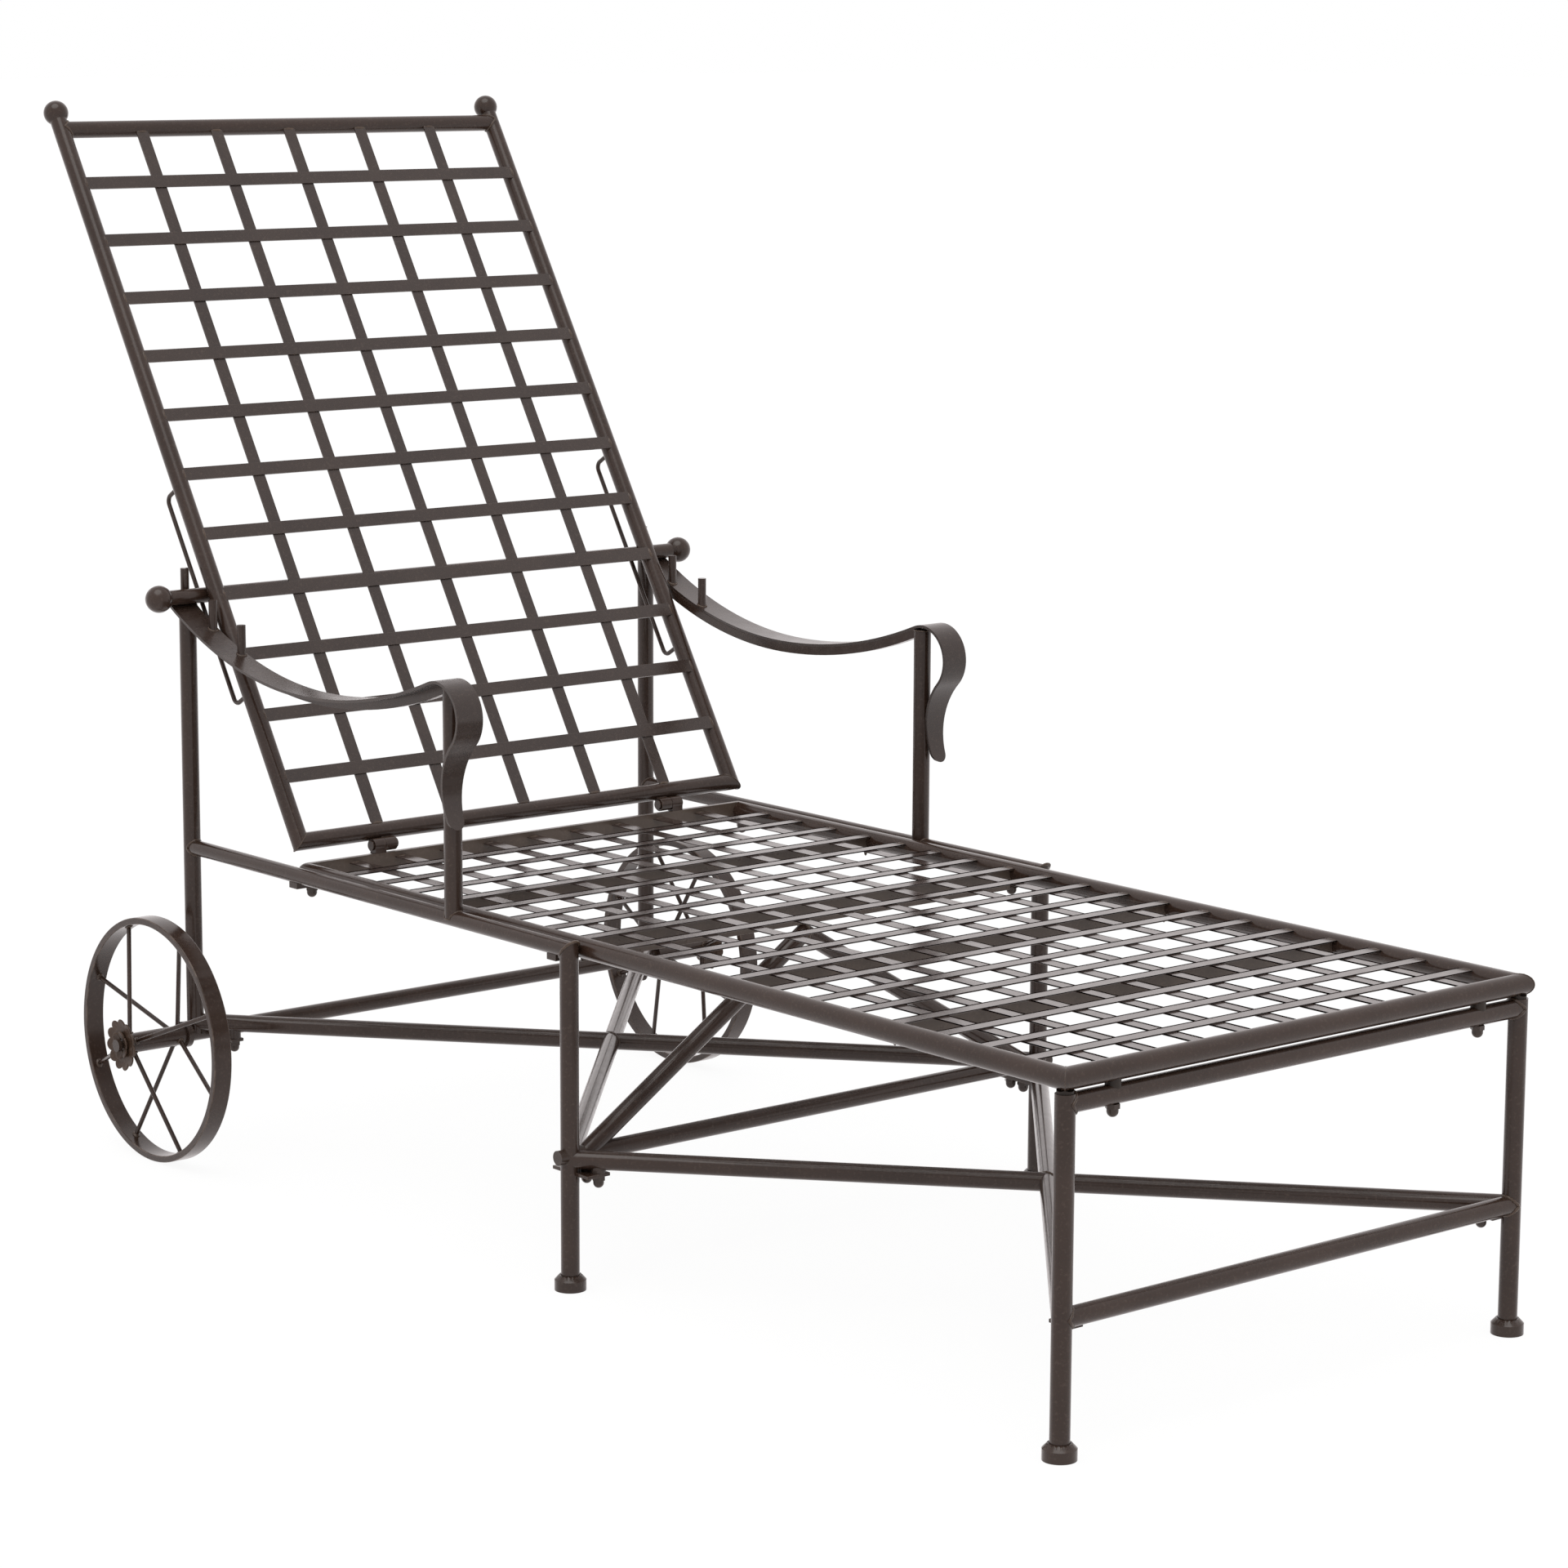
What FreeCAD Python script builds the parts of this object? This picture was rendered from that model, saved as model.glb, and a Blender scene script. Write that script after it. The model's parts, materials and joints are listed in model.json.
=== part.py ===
import FreeCAD, Part
import math
import os
import re

from FreeCAD import Placement, Rotation, Vector

# Chaise lounge of welded steel tube: a lattice seat bolted on a six-legged base with two wheels,
# and a lattice back that leans on a loose rod lying behind the pegs of two scrolled arms.
# X runs across (left of the sitter is +X), Y from the foot end (-Y) to the head end, Z up.
# The origin lies on the floor in the middle of the outline. Sizes are millimetres and degrees.

DRIVING = {
    # plan of the base
    "frame_half_width": 319.5,
    "panel_inset": 20,
    "front_leg_y": -835.6,
    "leg_span": 692,
    "seat_setback": 200.5,
    "arm_reach": 496.5,
    # tubes
    "tube_wall": 1.5,
    "leg_tube": 19,
    "side_tube": 17,
    "panel_tube": 21,
    "back_tube": 19,
    "brace_tube": 19,
    "stretcher_tube": 18,
    "front_tube": 19,
    "rod_tube": 17,
    # heights of tube centres
    "side_rail_z": 348.5,
    "panel_z": 347.5,
    "front_upper_z": 325,
    "front_lower_z": 129.5,
    "stretcher_z": 138,
    # feet
    "foot_diameter": 31,
    "foot_height": 19,
    "foot_shoulder": 6,
    "foot_floor": 6,
    # lattice
    "strip_width": 13.5,
    "strip_thickness": 3,
    "rear_bar_thickness": 6,
    "rail_overhang": 12,
    "seat_strip_inset": 4.5,
    "back_strip_inset": 0.5,
    "stiffener_thickness": 4,
    "stiffener_height": 18,
    # back and its hinge
    "hinge_inset": 100.5,
    "hinge_setback": 3.9,
    "hinge_rise": 8.4,
    "back_angle": 58.3,
    "back_offset": 3,
    "back_height": 880,
    "finial_ball": 28,
    "finial_rise": 22,
    "knuckle_tube": 15,
    "knuckle_length": 14.5,
    "knuckle_gap": 0.5,
    "hinge_pin": 7,
    "pin_head": 11,
    "pin_head_height": 2,
    # support rod and its guides
    "slide_gap": 0.4,
    "rod_ball": 30,
    "rod_ball_outset": 41.9,
    "guide_wire": 5,
    "guide_offset": 33,
    "guide_low": 178,
    "guide_high": 431,
    "guide_bend": 8,
    # arms
    "arm_low_setback": 235,
    "arm_low_z": 552.5,
    "arm_rear_radius": 512,
    "arm_front_radius": 640,
    "scroll_lead": 6.4,
    "scroll_radius": 38,
    "scroll_turn": 135,
    "tip_turn": 32,
    "tip_width": 20,
    "ribbon_width": 32,
    "ribbon_thickness": 3,
    "ribbon_outset": 9.2,
    "ribbon_overrun": 12,
    "arm_bar": 9.5,
    "arm_bar_inset": 2.5,
    "peg": 9.5,
    "peg_height": 32,
    "peg_pitch": 56,
    # wheels
    "wheel_radius": 137,
    "wheel_outset": 51.5,
    "rim_width": 22,
    "rim_thickness": 5,
    "axle_bar": 18,
    "axle_outset": 92.5,
    "running_gap": 0.05,
    "hub_tube": 22,
    "hub_outset": 17.7,
    "hub_end_gap": 0.5,
    "collar": 29,
    "collar_width": 6.5,
    "side_play": 0.3,
    "spoke": 5,
    "spoke_inset": 6.5,
    "rosette_thickness": 4,
    "petal_circle": 21,
    "petal": 17,
    "rosette_boss": 26,
    "rosette_boss_height": 3,
    # braces and their bolts
    "mid_brace_inset": 18.3,
    "mid_brace_drop": 9,
    "rear_brace_lift": 12.6,
    "front_brace_mid_z": 134.7,
    "brace_bolt_mid": 29,
    "brace_bolt_rear": 44,
    "brace_bolt_front": 28.5,
    "stretcher_bolt": 21,
    "tab_thickness": 3.5,
    "tab_margin": 7.5,
    "tab_seat": 0.8,
    "mid_tab_drop": 2.8,
    "seat_bolt_rear_inset": 6.5,
    "seat_bolt_mid_setback": 24,
    "seat_bolt_front_inset": 58,
    "stud": 7,
    "stud_gap": 0.1,
    "washer": 15,
    "nut_flats": 12,
    "nut_height": 4.5,
    "dome_height": 8.5,
    "stretcher_head": 15,
    "stretcher_head_height": 6,
    "screw": 8,
    "screw_length": 18,
    "screw_head": 14,
    "screw_head_height": 4,
}

SEAT_ROWS = 20
SEAT_COLUMNS = 10
STIFFENED_ROWS = (4, 8, 12, 16)
BRACED_ROW = 8
BACK_ROWS = 12
BACK_COLUMNS = 6
SPOKES = 8
PETALS = 12
PEGS = 3
CUTTER = 2000
SIDES = {"left": 1, "right": -1}

DERIVED = {
    "panel_half_width": "frame_half_width - panel_inset",
    "mid_leg_y": "front_leg_y + leg_span",
    "rear_post_y": "mid_leg_y + leg_span",
    "arm_post_y": "rear_post_y - arm_reach",
    "rear_bar_y": "rear_post_y - seat_setback",
    "panel_top": "panel_z + panel_tube / 2",
    "panel_bottom": "panel_z - panel_tube / 2",
    "seat_rail_end": "rear_bar_y + rail_overhang - panel_tube / 2",
    "strip_top": "panel_top - seat_strip_inset",
    "stiffener_half": "panel_half_width - panel_tube / 2 + 1",
    "lattice_bottom": "strip_top - 2 * strip_thickness",
    "seat_pitch": f"(rear_bar_y - front_leg_y) / {SEAT_ROWS}",
    "braced_y": f"rear_bar_y - {BRACED_ROW} * seat_pitch",
    "column_pitch": f"2 * panel_half_width / {SEAT_COLUMNS}",
    "back_row_pitch": f"back_height / {BACK_ROWS}",
    "back_column_pitch": f"2 * panel_half_width / {BACK_COLUMNS}",
    "hinge_x": "panel_half_width - hinge_inset",
    "hinge_y": "rear_bar_y + hinge_setback",
    "hinge_z": "panel_top + hinge_rise",
    # the back's own frame starts on the hinge axis, Y up along its rails, Z to its front
    "back_foot": "sqrt(((back_tube + knuckle_tube) / 2) ^ 2 - back_offset ^ 2)",
    "back_top": "back_foot + back_height",
    "back_strip_front": "back_tube / 2 - back_offset - back_strip_inset",
    "finial_centre": "back_top + finial_rise",
    "finial_seat": "finial_centre - sqrt((finial_ball ^ 2 - back_tube ^ 2) / 4)",
    # the arm's rear arc, its lowest point and its scroll
    "ribbon_x": "frame_half_width + ribbon_outset",
    "arm_bar_x": "frame_half_width - arm_bar_inset",
    "arm_low_y": "arm_post_y + arm_low_setback",
    "arm_centre_z": "arm_low_z + arm_rear_radius",
    "scroll_y": "arm_post_y - scroll_lead",
    "scroll_z": "arm_low_z + arm_front_radius"
                " - sqrt((arm_front_radius + scroll_radius) ^ 2 - (arm_low_y - scroll_y) ^ 2)",
    "arm_post_top": "scroll_z + sqrt((scroll_radius - ribbon_thickness) ^ 2"
                    " - (scroll_lead + leg_tube / 2) ^ 2)",
    # the rod rests on the rear arc and behind the back rails
    "rod_offset": "back_offset + (back_tube + rod_tube) / 2 + slide_gap",
    "rod_line_y": "hinge_y + rod_offset * sin(back_angle) - arm_low_y",
    "rod_line_z": "hinge_z - rod_offset * cos(back_angle) - arm_centre_z",
    "rod_along": "rod_line_y * cos(back_angle) + rod_line_z * sin(back_angle)",
    "rod_reach": "arm_rear_radius - rod_tube / 2 - slide_gap",
    "rod_s": "-rod_along - sqrt(rod_along ^ 2 - rod_line_y ^ 2 - rod_line_z ^ 2 + rod_reach ^ 2)",
    "rod_y": "arm_low_y + rod_line_y + rod_s * cos(back_angle)",
    "rod_z": "arm_centre_z + rod_line_z + rod_s * sin(back_angle)",
    "rod_ball_x": "frame_half_width + rod_ball_outset",
    "rod_end_x": "rod_ball_x - sqrt((rod_ball ^ 2 - rod_tube ^ 2) / 4)",
    "first_peg_y": "rod_y + (rod_tube + peg) / 2 + slide_gap",
    # wheels stand outside the posts
    "wheel_x": "frame_half_width + wheel_outset",
    "axle_end_x": "frame_half_width + axle_outset",
    "hub_inner_x": "frame_half_width + hub_outset",
    "hub_outer_x": "axle_end_x - hub_end_gap",
    # each crossed brace runs from leg to leg and is bolted to a tab near both of its ends
    "rear_brace_axle_z": "wheel_radius + rear_brace_lift",
    "rear_brace_run": "sqrt(4 * frame_half_width ^ 2 + leg_span ^ 2)",
    "rear_brace_across": "2 * frame_half_width / rear_brace_run",
    "rear_brace_along": "leg_span / rear_brace_run",
    "front_brace_run": "sqrt((frame_half_width + panel_half_width) ^ 2 + leg_span ^ 2)",
    "front_brace_across": "(frame_half_width + panel_half_width) / front_brace_run",
    "front_brace_along": "leg_span / front_brace_run",
    "mid_tab_top": "front_brace_mid_z - brace_tube / 2 - mid_tab_drop",
    "mid_tab_reach": "stretcher_bolt + tab_margin",
    "mid_tab_half": "brace_bolt_mid * rear_brace_along + tab_margin",
    "rear_tab_top": "wheel_radius - axle_bar / 4",
    "front_tab_top": "front_lower_z - front_tube / 2 + tab_seat",
    "seat_tab_top": "panel_bottom + tab_seat",
    "seat_bolt_rear_y": "rear_bar_y - seat_bolt_rear_inset",
    "seat_bolt_mid_y": "mid_leg_y + seat_bolt_mid_setback",
    "seat_bolt_front_x": "panel_half_width - seat_bolt_front_inset",
    # lengths of whole tubes, long enough to cope other pieces to
    "post_blank": "arm_centre_z",
    "leg_blank": "side_rail_z + 5 * leg_tube",
    "arm_blank": "2 * (ribbon_x + ribbon_width)",
}

doc = FreeCAD.newDocument("chaise_lounge")
sheet = doc.addObject("Spreadsheet::Sheet", "Sizes")
nodes = []


def rule(text):
    """Turn a rule written with the plain size names into one that reads the sheet."""
    def cell(match):
        word = match.group(0)
        return "Sizes." + word if word in DRIVING or word in DERIVED else word
    return re.sub(r"[a-z]\w*", cell, str(text))


def fill_sheet():
    row = 0
    for name, value in DRIVING.items():
        row += 1
        sheet.set(f"A{row}", name)
        sheet.set(f"B{row}", str(value))
        sheet.setAlias(f"B{row}", name)
    for name, formula in DERIVED.items():
        row += 1
        sheet.set(f"A{row}", name)
        sheet.set(f"B{row}", "=" + formula)
        sheet.setAlias(f"B{row}", name)
    doc.recompute()


def size(name):
    return float(sheet.get(name))


def bind(part, **rules):
    for name, text in rules.items():
        part.setExpression(name, rule(text))
    return part


def place(part, x="0", y="0", z="0", turn=Rotation()):
    part.Placement = Placement(Vector(), turn)
    for axis, text in zip("xyz", (x, y, z)):
        part.setExpression(f"Placement.Base.{axis}", rule(text))
    return part


def along(axis):
    """Turn that lays a cylinder's own Z axis along the named axis."""
    return {"X": Rotation(Vector(0, 1, 0), 90), "Y": Rotation(Vector(1, 0, 0), -90), "Z": Rotation()}[axis]


def cylinder(diameter, length, x="0", y="0", z="0", axis="Z"):
    part = doc.addObject("Part::Cylinder", "Cylinder")
    bind(part, Radius=f"({diameter}) / 2", Height=length)
    return place(part, x, y, z, along(axis))


def box(length, width, height, x="0", y="0", z="0", turn=Rotation()):
    part = doc.addObject("Part::Box", "Box")
    bind(part, Length=length, Width=width, Height=height)
    return place(part, x, y, z, turn)


def sphere(diameter, x="0", y="0", z="0"):
    part = doc.addObject("Part::Sphere", "Sphere")
    bind(part, Radius=f"({diameter}) / 2")
    return place(part, x, y, z)


def ball(diameter, neck, x, y, z, turn):
    """Sphere with a flat that a tube of the neck's diameter ends on; the turn lays its axis."""
    part = sphere(diameter, x, y, z)
    part.Placement = Placement(Vector(), turn)
    return bind(part, Angle1=f"-acos({neck} / {diameter})")


def cut(part, *tools):
    for tool in tools:
        result = doc.addObject("Part::Cut", "Cut")
        result.Base = part
        result.Tool = tool
        part = result
    return part


def common(part, tool):
    result = doc.addObject("Part::Common", "Common")
    result.Base = part
    result.Tool = tool
    return result


def fuse(*parts):
    result = doc.addObject("Part::MultiFuse", "Fuse")
    result.Shapes = list(parts)
    return result


def group(parts):
    result = doc.addObject("Part::Compound", "Group")
    result.Links = list(parts)
    return result


def mirrored(part):
    """The same piece on the other side of the middle plane."""
    result = doc.addObject("Part::Mirroring", "Mirrored")
    result.Source = part
    result.Normal = Vector(1, 0, 0)
    return result


def shaped(shape):
    """A piece whose form no primitive gives, built from the sheet's sizes."""
    part = doc.addObject("Part::Feature", "Shaped")
    part.Shape = shape
    return part


def node(label, part):
    part.Label = label
    nodes.append(part)
    return part


def pair(name, left_part):
    """Name a left piece and its mirror image on the right."""
    node(name + "_left", left_part)
    node(name + "_right", mirrored(left_part))


def bore(diameter, length, x, y, z, axis):
    return cylinder(f"{diameter} - 2 * tube_wall", length, x, y, z, axis)


def tube(diameter, length, x="0", y="0", z="0", axis="Z"):
    return cut(cylinder(diameter, length, x, y, z, axis), bore(diameter, length, x, y, z, axis))


def back_turn(part):
    """Lean a piece modelled in the back's own frame, about the hinge axis."""
    part.Placement = Placement(Vector(), Rotation(Vector(1, 0, 0), 1))
    part.setExpression("Placement.Base.y", rule("hinge_y"))
    part.setExpression("Placement.Base.z", rule("hinge_z"))
    part.setExpression("Placement.Rotation.Angle", rule("back_angle"))
    return part


def half_space(x, y, z, axis, degrees):
    """Big box whose lower face lies in a plane through a point, turned about an axis."""
    turn = Rotation(axis, degrees)
    shift = turn.multVec(Vector(-CUTTER / 2, -CUTTER / 2, 0))
    return box(str(CUTTER), str(CUTTER), str(CUTTER),
               f"{x} + {shift.x}", f"{y} + {shift.y}", f"{z} + {shift.z}", turn)


def strut(start, end, diameter):
    """Solid bar between two points."""
    return Part.makeCylinder(diameter / 2, (end - start).Length, start, end - start)


def hollow(start, end, diameter):
    wall = size("tube_wall")
    return strut(start, end, diameter).cut(strut(start, end, diameter - 2 * wall))


fill_sheet()

# Whole tubes that other pieces are coped to. The left side is modelled and the right is its mirror.
full = {
    "rear_post": cylinder("leg_tube", "post_blank", "frame_half_width", "rear_post_y", "0"),
    "arm_post": cylinder("leg_tube", "post_blank", "frame_half_width", "arm_post_y", "0"),
    "mid_leg": cylinder("leg_tube", "leg_blank", "frame_half_width", "mid_leg_y", "0"),
    "front_leg": cylinder("leg_tube", "leg_blank", "panel_half_width", "front_leg_y", "0"),
    "side_rail": cylinder("side_tube", "leg_span", "frame_half_width", "mid_leg_y", "side_rail_z", "Y"),
    "seat_rail": fuse(cylinder("panel_tube", "seat_rail_end - front_leg_y + panel_tube",
                               "panel_half_width", "front_leg_y - panel_tube", "panel_z", "Y"),
                      sphere("panel_tube", "panel_half_width", "seat_rail_end", "panel_z")),
    "seat_front": cylinder("panel_tube", "2 * (panel_half_width + panel_tube)",
                           "-panel_half_width - panel_tube", "front_leg_y", "panel_z", "X"),
    "front_upper": cylinder("front_tube", "2 * panel_half_width",
                            "-panel_half_width", "front_leg_y", "front_upper_z", "X"),
    "front_lower": cylinder("front_tube", "2 * panel_half_width",
                            "-panel_half_width", "front_leg_y", "front_lower_z", "X"),
    "stretcher": cylinder("stretcher_tube", "2 * frame_half_width",
                          "-frame_half_width", "mid_leg_y", "stretcher_z", "X"),
    "axle": cylinder("axle_bar", "2 * axle_end_x", "-axle_end_x", "rear_post_y", "wheel_radius", "X"),
    "ribbon_top": cylinder("2 * arm_rear_radius", "arm_blank",
                           "-arm_blank / 2", "arm_low_y", "arm_centre_z", "X"),
    "ribbon_under": cylinder("2 * (arm_rear_radius + ribbon_thickness)", "arm_blank",
                             "-arm_blank / 2", "arm_low_y", "arm_centre_z", "X"),
}
full["seat_rail_right"] = mirrored(full["seat_rail"])

# Side frames: rear post on the axle, side rail mitred into the mid leg, arm post on the side rail
pair("rear_post", cut(tube("leg_tube", "post_blank - wheel_radius", "frame_half_width", "rear_post_y",
                           "wheel_radius"), full["axle"], full["ribbon_under"]))
mitre_up = half_space("frame_half_width", "mid_leg_y", "side_rail_z", Vector(1, 0, 0), -45)
mitre_down = half_space("frame_half_width", "mid_leg_y", "side_rail_z", Vector(1, 0, 0), 135)
pair("mid_leg", cut(tube("leg_tube", "side_rail_z + leg_tube - foot_floor",
                         "frame_half_width", "mid_leg_y", "foot_floor"), mitre_up))
pair("side_rail", cut(tube("side_tube", "leg_span + side_tube", "frame_half_width",
                           "mid_leg_y - side_tube", "side_rail_z", "Y"), mitre_down, full["rear_post"]))
pair("arm_post", cut(tube("leg_tube", "arm_post_top - side_rail_z",
                          "frame_half_width", "arm_post_y", "side_rail_z"), full["side_rail"]))


# Arms: one flat ribbon through four tangent arcs, tapered to a rounded tip
def turned(centre, radius, degrees):
    angle = math.radians(degrees)
    return Vector(0, centre.y + radius * math.cos(angle), centre.z + radius * math.sin(angle))


def arc(centre, radius, start, end):
    middle = (start + end) / 2
    return Part.Arc(turned(centre, radius, start), turned(centre, radius, middle),
                    turned(centre, radius, end)).toShape()


def band(arcs, upper, lower):
    """Face between two offsets of a chain of tangent arcs; bulge is +1 where the centre is above."""
    top = [arc(centre, radius + bulge * upper, start, end) for centre, radius, bulge, start, end in arcs]
    under = [arc(centre, radius + bulge * lower, start, end) for centre, radius, bulge, start, end in arcs]
    first = Part.makeLine(top[0].Vertexes[0].Point, under[0].Vertexes[0].Point)
    last = Part.makeLine(top[-1].Vertexes[-1].Point, under[-1].Vertexes[-1].Point)
    wire = Part.Wire(Part.__sortEdges__(top + [last] + under + [first]))
    return Part.Face(wire)


def arm_arcs(rear_y):
    """The arm's arcs from its rear end to the scroll's tip: centre, radius, bulge, start and end."""
    rear = Vector(0, size("arm_low_y"), size("arm_centre_z"))
    front = Vector(0, size("arm_low_y"), size("arm_low_z") + size("arm_front_radius"))
    scroll = Vector(0, size("scroll_y"), size("scroll_z"))
    rise = math.degrees(math.asin((rear_y - rear.y) / size("arm_rear_radius")))
    fall = math.degrees(math.atan2(front.y - scroll.y, front.z - scroll.z))
    turn = size("scroll_turn")
    # the last arc runs down along the arm post and touches it
    lean = math.sin(math.radians(turn))
    post_front = size("arm_post_y") - size("leg_tube") / 2
    room = post_front - size("ribbon_thickness") - scroll.y + size("scroll_radius") * lean
    tail_radius = room / (1 - lean)
    tail = turned(scroll, size("scroll_radius") + tail_radius, 90 + turn)
    return [(rear, size("arm_rear_radius"), 1, rise - 90, -90),
            (front, size("arm_front_radius"), 1, -90, -90 - fall),
            (scroll, size("scroll_radius"), -1, 90 - fall, 90 + turn),
            (tail, tail_radius, 1, turn - 90, -size("tip_turn"))]


def arm_ribbon():
    arcs = arm_arcs(size("rear_post_y") + size("ribbon_overrun"))
    width = size("ribbon_width")
    blank = band(arcs, 0, size("ribbon_thickness")).extrude(Vector(width, 0, 0))
    blank.translate(Vector(size("ribbon_x") - width / 2, 0, 0))
    tail, tail_radius, bulge, start, end = arcs[-1]
    shoulder = turned(tail, tail_radius, start).z
    tip = turned(tail, tail_radius, end).z
    middle = size("ribbon_x")
    half_tip = size("tip_width") / 2
    outline = [Vector(middle - half_tip, 0, tip + half_tip), Vector(middle - width / 2, 0, shoulder),
               Vector(middle - width / 2, 0, CUTTER), Vector(middle + width / 2, 0, CUTTER),
               Vector(middle + width / 2, 0, shoulder), Vector(middle + half_tip, 0, tip + half_tip)]
    edges = [Part.makeLine(a, b) for a, b in zip(outline, outline[1:])]
    edges.append(Part.Arc(outline[-1], Vector(middle, 0, tip), outline[0]).toShape())
    template = Part.Face(Part.Wire(edges)).extrude(Vector(0, 2 * CUTTER, 0))
    template.translate(Vector(0, -CUTTER, 0))
    return blank.common(template)


def arm_bar():
    """Square bar under the ribbon, between the two posts."""
    arcs = arm_arcs(size("rear_post_y"))[:2]
    side = size("arm_bar")
    thickness = size("ribbon_thickness")
    blank = band(arcs, thickness, thickness + side).extrude(Vector(side, 0, 0))
    blank.translate(Vector(size("arm_bar_x") - side / 2, 0, 0))
    return blank


pair("arm_ribbon", shaped(arm_ribbon()))
pair("arm_bar", cut(shaped(arm_bar()), full["rear_post"], full["arm_post"]))
pegs = []
for side in SIDES.values():
    for number in range(PEGS):
        y = f"first_peg_y - {number} * peg_pitch"
        surface = f"arm_centre_z - sqrt(arm_rear_radius ^ 2 - ({y} - arm_low_y) ^ 2)"
        post = cylinder("peg", "peg_height + peg", f"{side} * frame_half_width", y, f"{surface} - peg")
        pegs.append(common(post, full["ribbon_top"]))
node("arm_pegs", group(pegs))

# Feet: a cup with a sloped shoulder under each leg
for name, x, y in (("front", "panel_half_width", "front_leg_y"), ("mid", "frame_half_width", "mid_leg_y")):
    shoulder = doc.addObject("Part::Cone", "Shoulder")
    bind(shoulder, Radius1="foot_diameter / 2", Radius2="leg_tube / 2 + tube_wall", Height="foot_shoulder")
    place(shoulder, x, y, "foot_height - foot_shoulder")
    cup = fuse(cylinder("foot_diameter", "foot_height - foot_shoulder", x, y), shoulder)
    pair(f"{name}_foot", cut(cup, cylinder("leg_tube", "foot_height", x, y, "foot_floor")))

# Front frame: two legs, two rails, and the stand-offs that carry the seat's front rail
bolt_hole = "stud + 2 * stud_gap"
leg_top = "front_upper_z + front_tube / 2"
pair("front_leg", tube("leg_tube", f"{leg_top} - foot_floor", "panel_half_width", "front_leg_y",
                       "foot_floor"))
leg_right = mirrored(full["front_leg"])
front_holes = [cylinder(bolt_hole, "front_tube * 2", f"{side} * seat_bolt_front_x", "front_leg_y",
                        "front_upper_z - front_tube") for side in SIDES.values()]
node("front_upper_rail", cut(tube("front_tube", "2 * panel_half_width", "-panel_half_width", "front_leg_y",
                                  "front_upper_z", "X"), full["front_leg"], leg_right, *front_holes))
node("front_lower_rail", cut(tube("front_tube", "2 * panel_half_width", "-panel_half_width", "front_leg_y",
                                  "front_lower_z", "X"), full["front_leg"], leg_right))
standoffs = []
for side in SIDES.values():
    plug = cylinder("leg_tube - 2 * tube_wall - 2 * stud_gap", f"panel_z - ({leg_top}) + leg_tube",
                    f"{side} * panel_half_width", "front_leg_y", f"{leg_top} - leg_tube")
    corner = full["seat_rail"] if side > 0 else full["seat_rail_right"]
    standoffs.append(cut(plug, full["seat_front"], corner))
    spacer = cylinder("washer", "panel_z - front_upper_z", f"{side} * seat_bolt_front_x",
                      "front_leg_y", "front_upper_z")
    hole = cylinder(bolt_hole, "panel_tube * 2", f"{side} * seat_bolt_front_x", "front_leg_y",
                    "front_upper_z - front_tube")
    standoffs.append(cut(spacer, full["seat_front"], full["front_upper"], hole))
node("front_standoffs", group(standoffs))

# Axle with its two collars, drilled at both ends for the rosette screws
collars = [cylinder("collar", "collar_width",
                    "hub_inner_x - side_play - collar_width" if side > 0 else "side_play - hub_inner_x",
                    "rear_post_y", "wheel_radius", "X") for side in SIDES.values()]
screw_holes = [cylinder("screw + 2 * stud_gap", "screw_length + 2",
                        "axle_end_x - screw_length - 2" if side > 0 else "-axle_end_x",
                        "rear_post_y", "wheel_radius", "X") for side in SIDES.values()]
node("axle", cut(fuse(full["axle"], *collars), *screw_holes))

# Mid stretcher, coped to the mid legs
node("mid_stretcher", cut(tube("stretcher_tube", "2 * frame_half_width", "-frame_half_width", "mid_leg_y",
                               "stretcher_z", "X"), full["mid_leg"], mirrored(full["mid_leg"])))


# Crossed braces: in each bay one runs through and the other is welded to it in two halves
BAYS = {
    "rear": (Vector(-size("frame_half_width"), size("rear_post_y"), size("rear_brace_axle_z")),
             Vector(size("frame_half_width"), size("mid_leg_y"), size("stretcher_z"))),
    "front": (Vector(-size("frame_half_width"), size("mid_leg_y"), size("front_brace_mid_z")),
              Vector(size("panel_half_width"), size("front_leg_y"), size("front_lower_z"))),
}
legs = [full[name] for name in ("rear_post", "mid_leg", "front_leg")]
neighbours = [full["stretcher"], full["axle"], full["front_lower"], *legs, *[mirrored(leg) for leg in legs]]
doc.recompute()


def swapped(ends):
    return tuple(Vector(-end.x, end.y, end.z) for end in ends)


def coped(bar):
    """The main solid that legs, rails and axle leave of a brace."""
    for part in neighbours:
        bar = bar.cut(part.Shape)
    return max(bar.Solids, key=lambda solid: solid.Volume)


brace_bars = []
for bay, ends in BAYS.items():
    bar = strut(*ends, size("brace_tube"))
    brace_bars.append(shaped(bar))
    brace_bars.append(shaped(strut(*swapped(ends), size("brace_tube"))))
    node(f"{bay}_brace_through", shaped(coped(hollow(*ends, size("brace_tube")))))
    halves = hollow(*swapped(ends), size("brace_tube")).cut(bar)
    node(f"{bay}_brace_halves", shaped(Part.makeCompound([coped(half) for half in halves.Solids])))


# Inverted V from the stretcher to the stiffener of the braced row
def mid_brace():
    foot_x = size("frame_half_width") - size("mid_brace_inset")
    foot = Vector(foot_x, size("mid_leg_y"), size("stretcher_z"))
    apex_z = size("lattice_bottom") - size("stiffener_height") - size("mid_brace_drop")
    apex = Vector(0, size("braced_y"), apex_z)
    beyond = apex + (apex - foot).normalize() * size("brace_tube")
    return hollow(foot, beyond, size("brace_tube"))


past_middle = half_space("0", "0", "0", Vector(0, 1, 0), -90)
above = half_space("0", "0", "lattice_bottom - stiffener_height", Vector(1, 0, 0), 0)
pair("mid_brace", cut(shaped(mid_brace()), full["stretcher"], full["mid_leg"], past_middle, above,
                      *brace_bars))

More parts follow.
